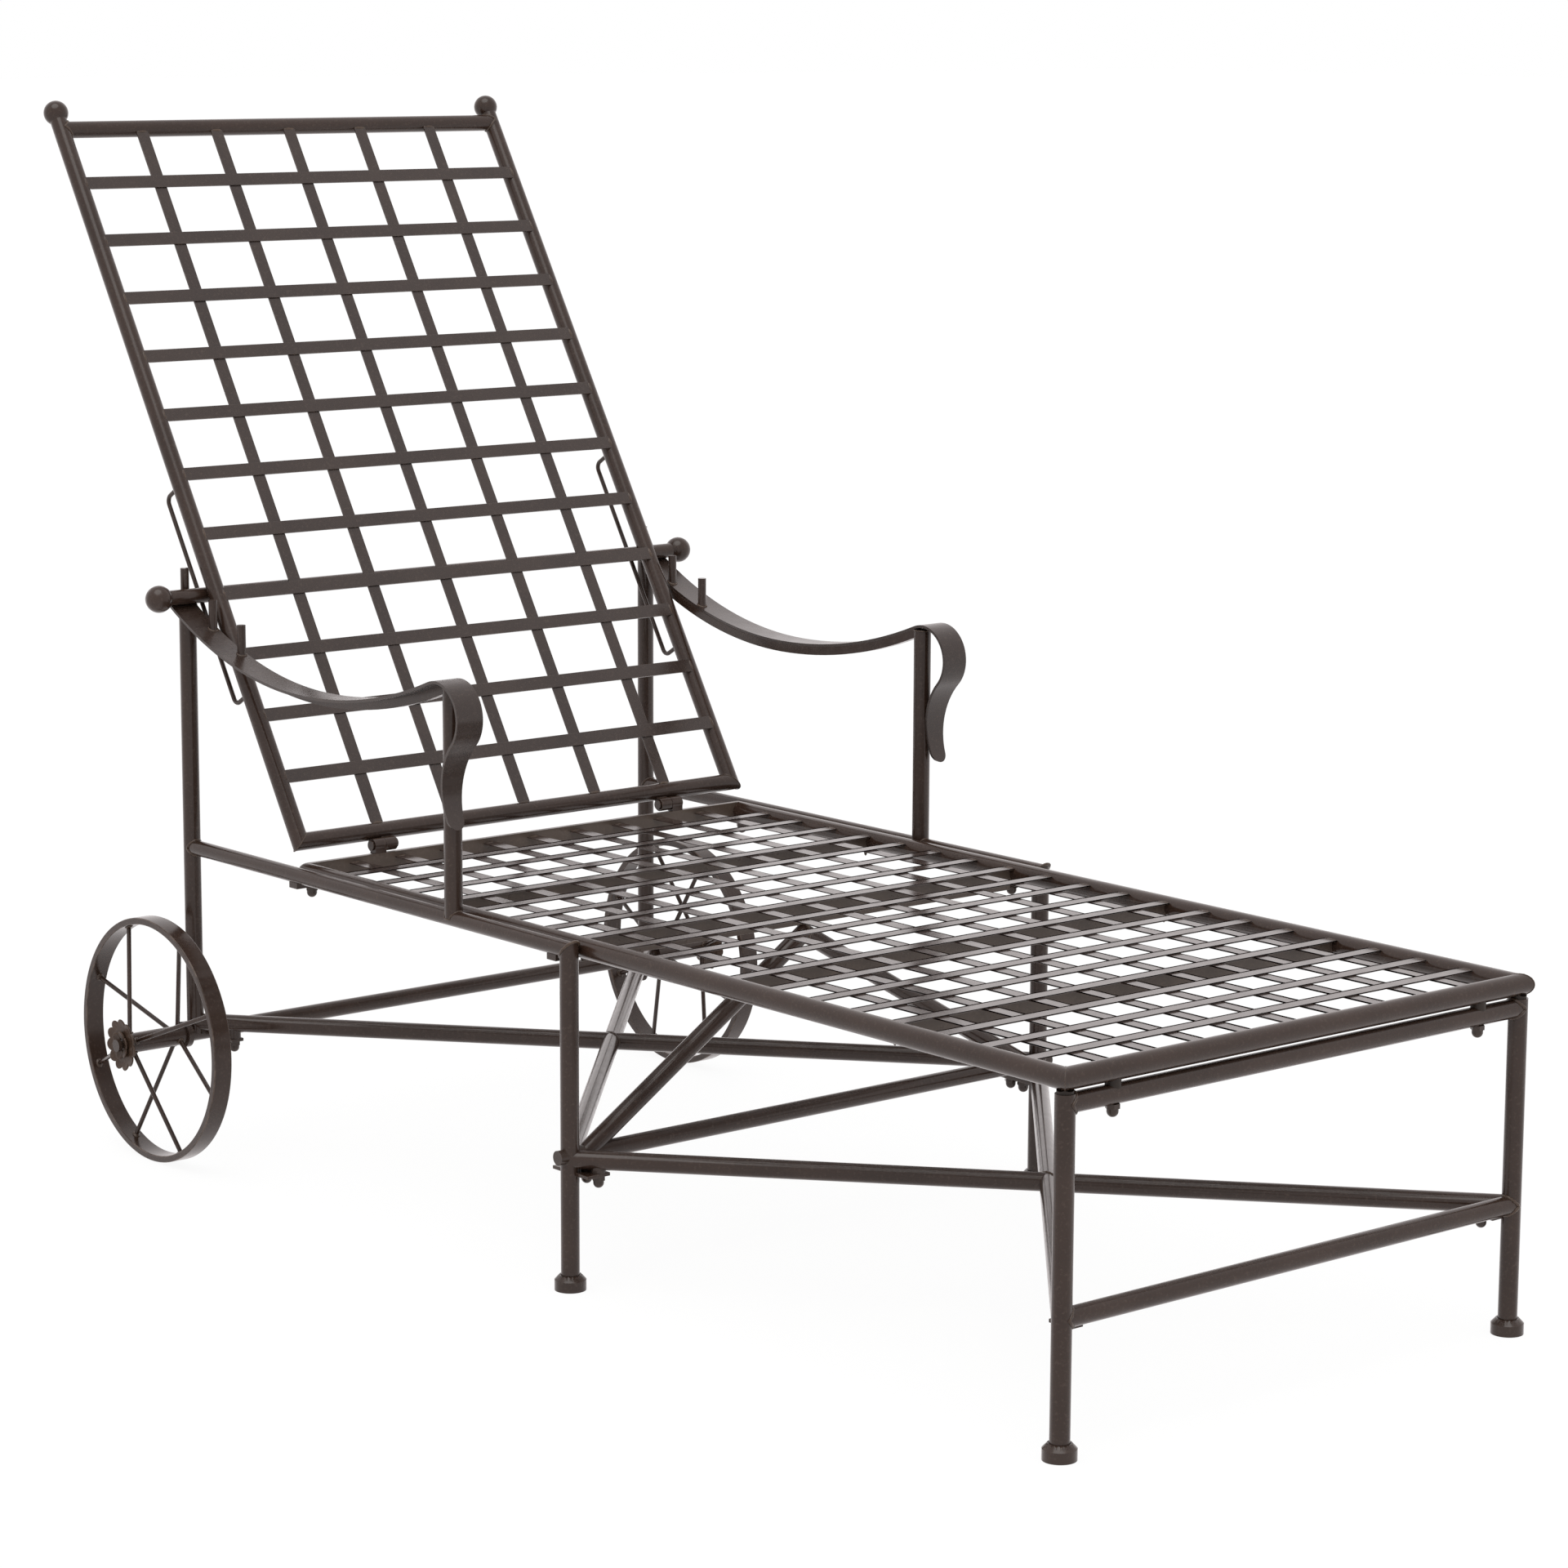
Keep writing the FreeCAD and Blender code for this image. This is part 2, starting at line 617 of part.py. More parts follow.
# Seat panel: mitred tube frame with a flat bar across its rear, and strips welded in two layers
seat_mitre_side = half_space("panel_half_width", "front_leg_y", "panel_z", Vector(-1, 1, 0), -90)
seat_mitre_front = half_space("panel_half_width", "front_leg_y", "panel_z", Vector(-1, 1, 0), 90)
pair("seat_rail", cut(full["seat_rail"],
                      bore("panel_tube", "seat_rail_end - front_leg_y + panel_tube",
                           "panel_half_width", "front_leg_y - panel_tube", "panel_z", "Y"),
                      seat_mitre_side))
node("seat_front_rail", cut(full["seat_front"],
                            bore("panel_tube", "2 * (panel_half_width + panel_tube)",
                                 "-panel_half_width - panel_tube", "front_leg_y", "panel_z", "X"),
                            seat_mitre_front, mirrored(seat_mitre_front)))
seat_sides = (full["seat_rail"], full["seat_rail_right"])


def across(width, height, y, low):
    """Flat bar from rail to rail, centred on y with its underside at low."""
    return box("2 * panel_half_width", width, height, "-panel_half_width", f"{y} - {width} / 2", low)


node("seat_rear_bar", cut(across("rear_bar_thickness", "panel_top - seat_tab_top", "rear_bar_y",
                                 "seat_tab_top"), *seat_sides))
rows = [across("strip_width", "strip_thickness", f"rear_bar_y - {row} * seat_pitch",
               "strip_top - strip_thickness") for row in range(1, SEAT_ROWS)]
node("seat_cross_strips", cut(group(rows), *seat_sides))
columns = [box("strip_width", "rear_bar_y - rear_bar_thickness / 2 - front_leg_y", "strip_thickness",
               f"{column - SEAT_COLUMNS // 2} * column_pitch - strip_width / 2",
               "front_leg_y", "lattice_bottom")
           for column in range(1, SEAT_COLUMNS)]
node("seat_long_strips", cut(group(columns), full["seat_front"]))
stiffeners = [box("2 * stiffener_half", "stiffener_thickness", "stiffener_height", "-stiffener_half",
                  f"rear_bar_y - {row} * seat_pitch - stiffener_thickness / 2",
                  "lattice_bottom - stiffener_height")
              for row in STIFFENED_ROWS]
node("seat_stiffeners", cut(group(stiffeners), *seat_sides))

# Back: modelled flat in its own frame, then leaned about the hinge axis
back_mitre_side = half_space("panel_half_width", "back_foot", "-back_offset", Vector(-1, 1, 0), -90)
back_mitre_foot = half_space("panel_half_width", "back_foot", "-back_offset", Vector(-1, 1, 0), 90)
back_rail = ("back_tube", "finial_seat - back_foot + back_tube", "panel_half_width",
             "back_foot - back_tube", "-back_offset", "Y")
back_foot_rail = ("back_tube", "2 * (panel_half_width + back_tube)", "-panel_half_width - back_tube",
                  "back_foot", "-back_offset", "X")
back_top_rail = ("back_tube", "2 * panel_half_width", "-panel_half_width", "back_top", "-back_offset", "X")
back_sides = (cylinder(*back_rail), mirrored(cylinder(*back_rail)))
pair("back_rail", back_turn(cut(tube(*back_rail), back_mitre_side)))
node("back_bottom_rail", back_turn(cut(tube(*back_foot_rail), back_mitre_foot, mirrored(back_mitre_foot))))
node("back_top_rail", back_turn(cut(tube(*back_top_rail), *back_sides)))
balls = [ball("finial_ball", "back_tube", f"{side} * panel_half_width", "finial_centre", "-back_offset",
              along("Y")) for side in SIDES.values()]
node("back_finials", back_turn(group(balls)))
rows = [box("2 * panel_half_width", "strip_width", "strip_thickness", "-panel_half_width",
            f"back_foot + {row} * back_row_pitch - strip_width / 2", "back_strip_front - strip_thickness")
        for row in range(1, BACK_ROWS)]
node("back_cross_strips", back_turn(cut(group(rows), *back_sides)))
columns = [box("strip_width", "back_height", "strip_thickness",
               f"{column - BACK_COLUMNS // 2} * back_column_pitch - strip_width / 2",
               "back_foot", "back_strip_front - 2 * strip_thickness")
           for column in range(1, BACK_COLUMNS)]
node("back_long_strips", back_turn(cut(group(columns), cylinder(*back_foot_rail),
                                       cylinder(*back_top_rail))))

# Hinges: the outer knuckle stands on the seat's rear bar, the inner one hangs from the back's bottom rail
seat_knuckles = []
back_knuckles = []
pins = []
for side in SIDES.values():
    outer_x = "hinge_x + knuckle_gap / 2" if side > 0 else "-hinge_x - knuckle_gap / 2 - knuckle_length"
    inner_x = "hinge_x - knuckle_gap / 2 - knuckle_length" if side > 0 else "knuckle_gap / 2 - hinge_x"
    ring = cylinder("knuckle_tube", "knuckle_length", outer_x, "hinge_y", "hinge_z", "X")
    lug = box("knuckle_length", "rear_bar_thickness", "hinge_z - panel_top",
              outer_x, "rear_bar_y - rear_bar_thickness / 2", "panel_top")
    hole = cylinder("hinge_pin + 2 * running_gap", "knuckle_length", outer_x, "hinge_y", "hinge_z", "X")
    seat_knuckles.append(cut(fuse(ring, lug), hole))
    ring = cylinder("knuckle_tube", "knuckle_length", inner_x, "0", "0", "X")
    web = box("knuckle_length", "back_foot", "rear_bar_thickness",
              inner_x, "0", "-(rear_bar_thickness + back_offset) / 2")
    hole = cylinder("hinge_pin + 2 * running_gap", "knuckle_length", inner_x, "0", "0", "X")
    back_knuckles.append(cut(fuse(ring, web), cylinder(*back_foot_rail), hole))
    length = "2 * knuckle_length + knuckle_gap + side_play"
    start = ("hinge_x - knuckle_gap / 2 - knuckle_length - side_play" if side > 0
             else "-hinge_x - knuckle_gap / 2 - knuckle_length")
    pin = cylinder("hinge_pin", f"{length} + 2 * pin_head_height", f"{start} - pin_head_height",
                   "hinge_y", "hinge_z", "X")
    low_head = cylinder("pin_head", "pin_head_height", f"{start} - pin_head_height",
                        "hinge_y", "hinge_z", "X")
    high_head = cylinder("pin_head", "pin_head_height", f"{start} + {length}", "hinge_y", "hinge_z", "X")
    pins.append(fuse(pin, low_head, high_head))
node("seat_hinge_knuckles", group(seat_knuckles))
node("back_hinge_knuckles", back_turn(group(back_knuckles)))
node("hinge_pins", group(pins))


# Support rod with a ball at each end, and the wire loops on the back rails that keep it
def rod_guide():
    """Round wire bent square at both ends, in the back's own frame."""
    x = size("panel_half_width")
    rail = -size("back_offset")
    out = rail - size("guide_offset")
    low = size("back_foot") + size("guide_low")
    high = size("back_foot") + size("guide_high")
    bend = size("guide_bend")
    slope = bend * (1 - math.sqrt(0.5))
    stations = [Vector(x, low, rail), Vector(x, low, out + bend),
                Vector(x, low + slope, out + slope), Vector(x, low + bend, out),
                Vector(x, high - bend, out), Vector(x, high - slope, out + slope),
                Vector(x, high, out + bend), Vector(x, high, rail)]
    path = Part.Wire([Part.makeLine(stations[0], stations[1]), Part.Arc(*stations[1:4]).toShape(),
                      Part.makeLine(stations[3], stations[4]), Part.Arc(*stations[4:7]).toShape(),
                      Part.makeLine(stations[6], stations[7])])
    section = Part.Wire(Part.makeCircle(size("guide_wire") / 2, stations[0], Vector(0, 0, 1)))
    return path.makePipeShell([section], True, False)


pair("rod_guide", back_turn(cut(shaped(rod_guide()), cylinder(*back_rail))))
node("support_rod", tube("rod_tube", "2 * rod_end_x", "-rod_end_x", "rod_y", "rod_z", "X"))
balls = [ball("rod_ball", "rod_tube", f"{side} * rod_ball_x", "rod_y", "rod_z",
              Rotation(Vector(0, 1, 0), side * 90)) for side in SIDES.values()]
node("rod_balls", group(balls))

# Wheels: a flat rim, and a hub with spokes that lean in from both of its ends to the rim's middle
rim = cut(cylinder("2 * wheel_radius", "rim_width", "wheel_x - rim_width / 2",
                   "rear_post_y", "wheel_radius", "X"),
          cylinder("2 * (wheel_radius - rim_thickness)", "rim_width", "wheel_x - rim_width / 2",
                   "rear_post_y", "wheel_radius", "X"))
pair("wheel_rim", rim)


def wheel_spider():
    centre = Vector(0, size("rear_post_y"), size("wheel_radius"))
    inner = size("hub_inner_x")
    outer = size("hub_outer_x")
    toward = Vector(1, 0, 0)
    solid = Part.makeCylinder(size("hub_tube") / 2, outer - inner, centre + toward * inner, toward)
    roots = (outer - size("spoke_inset"), inner + size("spoke_inset"))
    for number in range(SPOKES):
        angle = math.radians((number + 0.5) * 360 / SPOKES)
        reach = Vector(0, -math.cos(angle), math.sin(angle)) * size("wheel_radius")
        root = centre + toward * roots[number % 2]
        solid = solid.fuse(strut(root, centre + toward * size("wheel_x") + reach, size("spoke")))
    inside = Part.makeCylinder(size("wheel_radius") - size("rim_thickness"), outer - inner,
                               centre + toward * inner, toward)
    return solid.common(inside)


pair("wheel_spider", cut(shaped(wheel_spider()),
                         cylinder("axle_bar + 2 * running_gap", "hub_outer_x - hub_inner_x", "hub_inner_x",
                                  "rear_post_y", "wheel_radius", "X")))

# Rosettes: scalloped caps screwed to the ends of the axle
petals = []
for number in range(PETALS):
    angle = f"{number} * 360 / {PETALS}"
    petals.append(cylinder("petal", "rosette_thickness", "axle_end_x",
                           f"rear_post_y + petal_circle * cos({angle})",
                           f"wheel_radius + petal_circle * sin({angle})", "X"))
disc = cylinder("2 * petal_circle", "rosette_thickness", "axle_end_x", "rear_post_y", "wheel_radius", "X")
boss = cylinder("rosette_boss", "rosette_thickness + rosette_boss_height", "axle_end_x",
                "rear_post_y", "wheel_radius", "X")
rosette_hole = cylinder("screw + 2 * stud_gap", "2 * screw_length", "axle_end_x",
                        "rear_post_y", "wheel_radius", "X")
pair("rosette", cut(fuse(disc, boss, *petals), rosette_hole))

# Bolted joints: a tab, a stud with its washer under the tube, and an acorn nut under the tab
tabs = []
bolts = []
nuts = []


def acorn_nut(x, y, top):
    """Hexagon and dome hanging below a face at the given height."""
    hexagon = doc.addObject("Part::Prism", "Hexagon")
    hexagon.Polygon = 6
    bind(hexagon, Circumradius="nut_flats / sqrt(3)", Height="nut_height")
    place(hexagon, x, y, f"{top} - nut_height")
    barrel = cylinder("nut_flats - 1", "nut_height + dome_height - nut_flats / 2", x, y,
                      f"{top} - nut_height - dome_height + nut_flats / 2")
    dome = sphere("nut_flats - 1", x, y, f"{top} - nut_height - dome_height + nut_flats / 2")
    blind = cylinder(bolt_hole, "2 * nut_height", x, y, f"{top} - nut_height - stud / 2")
    return cut(fuse(hexagon, barrel, dome), blind)


def stud(x, y, low, high):
    return cylinder("stud", f"{high} - ({low})", x, y, low)


def stud_hole(x, y, low):
    return cylinder(bolt_hole, "4 * tab_thickness", x, y, f"{low} - tab_thickness")


def brace_bolt(x, y, tab_top, brace_z):
    """Stud and washer welded under a brace; the nut draws them down on the tab."""
    under = f"{tab_top} - tab_thickness"
    washer = cylinder("washer", f"{brace_z} - {tab_top}", x, y, tab_top)
    bolts.append(cut(fuse(washer, stud(x, y, f"{under} - nut_height", brace_z)), *brace_bars, *neighbours))
    nuts.append(acorn_nut(x, y, under))


for side in SIDES.values():
    # under the end of the stretcher, one tab for it and for the ends of two braces
    low = "mid_tab_top - tab_thickness"
    start = "frame_half_width - mid_tab_reach" if side > 0 else "-frame_half_width"
    plate = box("mid_tab_reach", "2 * mid_tab_half", "tab_thickness", start,
                "mid_leg_y - mid_tab_half", low)
    leg = full["mid_leg"] if side > 0 else mirrored(full["mid_leg"])
    spots = ((f"{side} * (frame_half_width - brace_bolt_mid * rear_brace_across)",
              "mid_leg_y + brace_bolt_mid * rear_brace_along", "stretcher_z"),
             (f"{side} * (frame_half_width - stretcher_bolt)", "mid_leg_y", "stretcher_z"),
             (f"{side} * (frame_half_width - brace_bolt_mid * front_brace_across)",
              "mid_leg_y - brace_bolt_mid * front_brace_along", "front_brace_mid_z"))
    tabs.append(cut(plate, leg, *[stud_hole(x, y, low) for x, y, z in spots]))
    for x, y, z in spots:
        brace_bolt(x, y, "mid_tab_top", z)
    # under the axle and under the front lower rail
    x = f"{side} * (frame_half_width - brace_bolt_rear * rear_brace_across)"
    y = "rear_post_y - brace_bolt_rear * rear_brace_along"
    low = "rear_tab_top - tab_thickness"
    plate = box("2 * tab_margin", "brace_bolt_rear * rear_brace_along + tab_margin", "tab_thickness",
                f"{x} - tab_margin", f"{y} - tab_margin", low)
    tabs.append(cut(plate, full["axle"], stud_hole(x, y, low)))
    brace_bolt(x, y, "rear_tab_top", "rear_brace_axle_z")
    x = f"{side} * (panel_half_width - brace_bolt_front * front_brace_across)"
    y = "front_leg_y + brace_bolt_front * front_brace_along"
    low = "front_tab_top - tab_thickness"
    plate = box("2 * tab_margin", "brace_bolt_front * front_brace_along + tab_margin", "tab_thickness",
                f"{x} - tab_margin", "front_leg_y", low)
    tabs.append(cut(plate, full["front_lower"], *brace_bars, stud_hole(x, y, low)))
    brace_bolt(x, y, "front_tab_top", "front_lower_z")
    # seat rails on tabs under the side rails
    seat_rail = full["seat_rail"] if side > 0 else full["seat_rail_right"]
    side_rail = full["side_rail"] if side > 0 else mirrored(full["side_rail"])
    for y in ("seat_bolt_rear_y", "seat_bolt_mid_y"):
        x = f"{side} * panel_half_width"
        low = "seat_tab_top - tab_thickness"
        reach = "panel_inset + side_tube / 4 + tab_margin"
        start = ("panel_half_width - tab_margin" if side > 0
                 else f"-panel_half_width + tab_margin - ({reach})")
        plate = box(reach, "2 * tab_margin", "tab_thickness", start, f"{y} - tab_margin", low)
        block = box("side_tube / 2", "2 * tab_margin", f"side_rail_z - ({low})",
                    f"{side} * frame_half_width - side_tube / 4", f"{y} - tab_margin", low)
        tabs.append(cut(fuse(plate, block), seat_rail, side_rail, stud_hole(x, y, low)))
        bolts.append(cut(stud(x, y, f"{low} - nut_height", "panel_z"), seat_rail))
        nuts.append(acorn_nut(x, y, low))
    # seat's front rail on the front upper rail
    x = f"{side} * seat_bolt_front_x"
    top = "front_upper_z - front_tube / 2 + tab_seat"
    bolts.append(cut(stud(x, "front_leg_y", f"{top} - nut_height", "panel_z"), full["seat_front"]))
    nuts.append(cut(acorn_nut(x, "front_leg_y", top), full["front_upper"]))
    # stretcher bolt heads outside the mid legs, and rosette screws
    length = "leg_tube / 2 + stretcher_head_height"
    start = "frame_half_width" if side > 0 else f"-frame_half_width - ({length})"
    bolts.append(cut(cylinder("stretcher_head", length, start, "mid_leg_y", "stretcher_z", "X"), leg))
    length = "screw_length + rosette_thickness + rosette_boss_height + screw_head_height"
    start = "axle_end_x - screw_length" if side > 0 else f"-axle_end_x + screw_length - ({length})"
    shank = cylinder("screw", length, start, "rear_post_y", "wheel_radius", "X")
    face = "axle_end_x + rosette_thickness + rosette_boss_height"
    start = face if side > 0 else f"-({face}) - screw_head_height"
    head = cylinder("screw_head", "screw_head_height", start, "rear_post_y", "wheel_radius", "X")
    bolts.append(fuse(shank, head))
node("bolt_tabs", group(tabs))
node("bolts", group(bolts))
node("acorn_nuts", group(nuts))

doc.recompute()
for part in doc.Objects:
    if "Invalid" in part.State or "Error" in part.State:
        raise RuntimeError(f"{part.Label} did not build")
os.makedirs("parts", exist_ok=True)
for part in nodes:
    if part.Shape.isNull() or not part.Shape.isValid() or not part.Shape.Solids:
        raise RuntimeError(f"{part.Label} is not a valid solid")
    part.Shape.exportStep(f"parts/{part.Label}.step")
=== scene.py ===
import json
import math
import random

import bmesh
import bpy
from mathutils import Matrix, Vector, noise

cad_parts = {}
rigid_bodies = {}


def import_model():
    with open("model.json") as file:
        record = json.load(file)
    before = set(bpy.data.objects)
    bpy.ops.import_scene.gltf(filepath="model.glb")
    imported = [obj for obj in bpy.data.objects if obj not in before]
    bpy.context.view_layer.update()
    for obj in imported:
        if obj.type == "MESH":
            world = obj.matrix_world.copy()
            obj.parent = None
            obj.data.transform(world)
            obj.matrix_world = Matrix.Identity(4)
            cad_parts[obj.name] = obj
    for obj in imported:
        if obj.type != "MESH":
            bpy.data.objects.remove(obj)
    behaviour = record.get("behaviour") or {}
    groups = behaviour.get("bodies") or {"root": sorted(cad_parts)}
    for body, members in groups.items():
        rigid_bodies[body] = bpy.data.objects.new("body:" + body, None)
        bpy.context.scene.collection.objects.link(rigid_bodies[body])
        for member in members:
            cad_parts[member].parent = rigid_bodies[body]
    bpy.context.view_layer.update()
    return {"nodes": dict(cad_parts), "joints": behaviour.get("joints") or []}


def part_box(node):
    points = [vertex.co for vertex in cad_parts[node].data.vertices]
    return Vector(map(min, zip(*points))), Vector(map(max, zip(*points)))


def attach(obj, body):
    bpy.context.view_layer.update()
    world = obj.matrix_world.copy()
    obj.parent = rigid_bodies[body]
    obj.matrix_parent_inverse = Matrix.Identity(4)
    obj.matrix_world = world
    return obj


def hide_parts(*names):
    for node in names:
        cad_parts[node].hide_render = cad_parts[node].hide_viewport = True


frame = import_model()
scene = bpy.context.scene
MM = 0.001
SIDES = ("left", "right")


# Shader nodes

def grain(tree, place, scale, detail):
    """Cloudy noise of a given scale."""
    made = tree.nodes.new("ShaderNodeTexNoise")
    made.inputs["Scale"].default_value = scale
    made.inputs["Detail"].default_value = detail
    tree.links.new(place, made.inputs["Vector"])
    return made.outputs["Fac"]


def graded(tree, source, low, high, to_low, to_high):
    """A value drawn from one range into another."""
    made = tree.nodes.new("ShaderNodeMapRange")
    ends = {"From Min": low, "From Max": high, "To Min": to_low, "To Max": to_high}
    for socket, value in ends.items():
        made.inputs[socket].default_value = value
    tree.links.new(source, made.inputs["Value"])
    return made.outputs["Result"]


def worked(tree, operation, first, second):
    """Two values put together by a sum, a product or the like."""
    made = tree.nodes.new("ShaderNodeMath")
    made.operation = operation
    for socket, value in zip(made.inputs, (first, second)):
        if isinstance(value, float):
            socket.default_value = value
        else:
            tree.links.new(value, socket)
    return made.outputs[0]


def blended(tree, share, under, over):
    """Colour 'over' laid on 'under' by a share from 0 to 1."""
    made = tree.nodes.new("ShaderNodeMix")
    made.data_type = "RGBA"
    tree.links.new(share, made.inputs[0])
    for socket, colour in ((6, under), (7, over)):
        if isinstance(colour, tuple):
            made.inputs[socket].default_value = (*colour, 1.0)
        else:
            tree.links.new(colour, made.inputs[socket])
    return made.outputs[2]


def chosen(tree, share, first, second, output):
    """One shader or the other by a share from 0 to 1, led to the output."""
    made = tree.nodes.new("ShaderNodeMixShader")
    for socket, source in zip(made.inputs, (share, first, second)):
        tree.links.new(source, socket)
    tree.links.new(made.outputs[0], output.inputs[0])


def bumped(tree, height, strength, depth):
    """A surface roughened by a height."""
    made = tree.nodes.new("ShaderNodeBump")
    made.inputs["Strength"].default_value = strength
    made.inputs["Distance"].default_value = depth
    tree.links.new(height, made.inputs["Height"])
    return made.outputs["Normal"]


# Camera, light and floor

LENS = 100.89
SENSOR = 36.0
CAMERA_PLACE = Vector((-2.8880, -3.5438, 1.2722))
CAMERA_BACK = Vector((-0.6318, -0.7551, 0.1749))
CAMERA_RIGHT = Vector((0.7669, -0.6417, 0.0))
CAMERA_ROLL = math.radians(0.26)

# the surroundings are white; mirrored in the paint they are a little warm
PLAIN_WHITE = (1.0, 1.0, 1.0)
MIRRORED_WHITE = (1.0, 0.945, 0.945)

FILL_COLOUR = (1.0, 0.99, 0.98, 1.0)
FILL_TOWARD = (0.62, 0.50, 0.60)
FILL_SPREAD = 0.9
FILL_DIM, FILL_BRIGHT = 0.36, 0.80
FILL_OVERHEAD = 0.55
KEY_ENERGY = 1.3
KEY_SPREAD = math.radians(50)
KEY_COLOUR = (1.0, 0.985, 0.965)
KEY_FROM = Vector((-0.45, -0.35, 1.6))

FLOOR_COLOUR = (0.95, 0.95, 0.95, 1.0)
FLOOR_GLOW = 0.93
FLOOR_REACH = 60.0
FLOOR_BELOW = 0.5 * MM


def photo_camera():
    """Long lens from the foot end, a little above the seat, as the photograph was taken."""
    lens = bpy.data.cameras.new("photo_camera")
    lens.lens = LENS
    lens.sensor_width = SENSOR
    back = CAMERA_BACK.normalized()
    right = CAMERA_RIGHT.normalized()
    up = back.cross(right)
    across = right * math.cos(CAMERA_ROLL) + up * math.sin(CAMERA_ROLL)
    upward = up * math.cos(CAMERA_ROLL) - right * math.sin(CAMERA_ROLL)
    camera = bpy.data.objects.new("photo_camera", lens)
    camera.matrix_world = Matrix((
        (across.x, upward.x, back.x, CAMERA_PLACE.x),
        (across.y, upward.y, back.y, CAMERA_PLACE.y),
        (across.z, upward.z, back.z, CAMERA_PLACE.z),
        (0, 0, 0, 1)))
    scene.collection.objects.link(camera)
    scene.camera = camera


def seen_directly(tree):
    """A share of 1 for camera and mirrored rays, 0 for light on things; and the white they meet."""
    path = tree.nodes.new("ShaderNodeLightPath")
    to_camera = path.outputs["Is Camera Ray"]
    share = worked(tree, "MAXIMUM", to_camera, path.outputs["Is Glossy Ray"])
    return share, blended(tree, to_camera, MIRRORED_WHITE, PLAIN_WHITE)


def white_studio():
    """White surroundings with a softer fill, and a broad key from above."""
    world = bpy.data.worlds.new("white_studio")
    world.use_nodes = True
    tree = world.node_tree
    tree.nodes.clear()
    output = tree.nodes.new("ShaderNodeOutputWorld")
    share, white = seen_directly(tree)
    seen = tree.nodes.new("ShaderNodeBackground")
    tree.links.new(white, seen.inputs["Color"])
    fill = tree.nodes.new("ShaderNodeBackground")
    fill.inputs["Color"].default_value = FILL_COLOUR
    toward = tree.nodes.new("ShaderNodeTexCoord").outputs["Generated"]
    facing = tree.nodes.new("ShaderNodeVectorMath")
    facing.operation = "DOT_PRODUCT"
    facing.inputs[1].default_value = FILL_TOWARD
    tree.links.new(toward, facing.inputs[0])
    height = tree.nodes.new("ShaderNodeSeparateXYZ")
    tree.links.new(toward, height.inputs[0])
    sideways = graded(tree, facing.outputs["Value"], -FILL_SPREAD, FILL_SPREAD,
                      FILL_DIM, FILL_BRIGHT)
    overhead = graded(tree, height.outputs["Z"], 0.0, 1.0, 0.0, FILL_OVERHEAD)
    tree.links.new(worked(tree, "ADD", sideways, overhead), fill.inputs["Strength"])
    chosen(tree, share, fill.outputs[0], seen.outputs[0], output)
    scene.world = world

    key = bpy.data.lights.new("key", "SUN")
    key.energy = KEY_ENERGY
    key.angle = KEY_SPREAD
    key.color = KEY_COLOUR
    lamp = bpy.data.objects.new("key", key)
    lamp.rotation_euler = KEY_FROM.to_track_quat("Z", "Y").to_euler()
    scene.collection.objects.link(lamp)


def pale_floor():
    """White floor that keeps a faint shadow."""
    material = bpy.data.materials.new("pale_floor")
    material.use_nodes = True
    tree = material.node_tree
    tree.nodes.clear()
    output = tree.nodes.new("ShaderNodeOutputMaterial")
    matt = tree.nodes.new("ShaderNodeBsdfDiffuse")
    matt.inputs["Color"].default_value = FLOOR_COLOUR
    seen, white = seen_directly(tree)
    glow = tree.nodes.new("ShaderNodeEmission")
    tree.links.new(white, glow.inputs["Color"])
    share = worked(tree, "MULTIPLY", seen, FLOOR_GLOW)
    chosen(tree, share, matt.outputs[0], glow.outputs[0], output)
    sheet = bmesh.new()
    bmesh.ops.create_grid(sheet, x_segments=1, y_segments=1, size=FLOOR_REACH)
    bmesh.ops.translate(sheet, verts=sheet.verts, vec=(0, 0, -FLOOR_BELOW))
    mesh = bpy.data.meshes.new("floor")
    sheet.to_mesh(mesh)
    sheet.free()
    mesh.materials.append(material)
    floor = bpy.data.objects.new("floor", mesh)
    scene.collection.objects.link(floor)


# Finishes

TUBE_IOR = 1.33
FLAT_IOR = 1.40
STRIP_IOR = 1.43
GLAZE = 0.55
CLOUD_SCALE = 14.0
SPECK_SCALE = 300.0
SCUFF_SCALE = 75.0
RIPPLE_SCALE = 260.0
RIPPLE_DEPTH = 0.6 * MM
SMOOTHER, ROUGHER = 0.04, 0.06


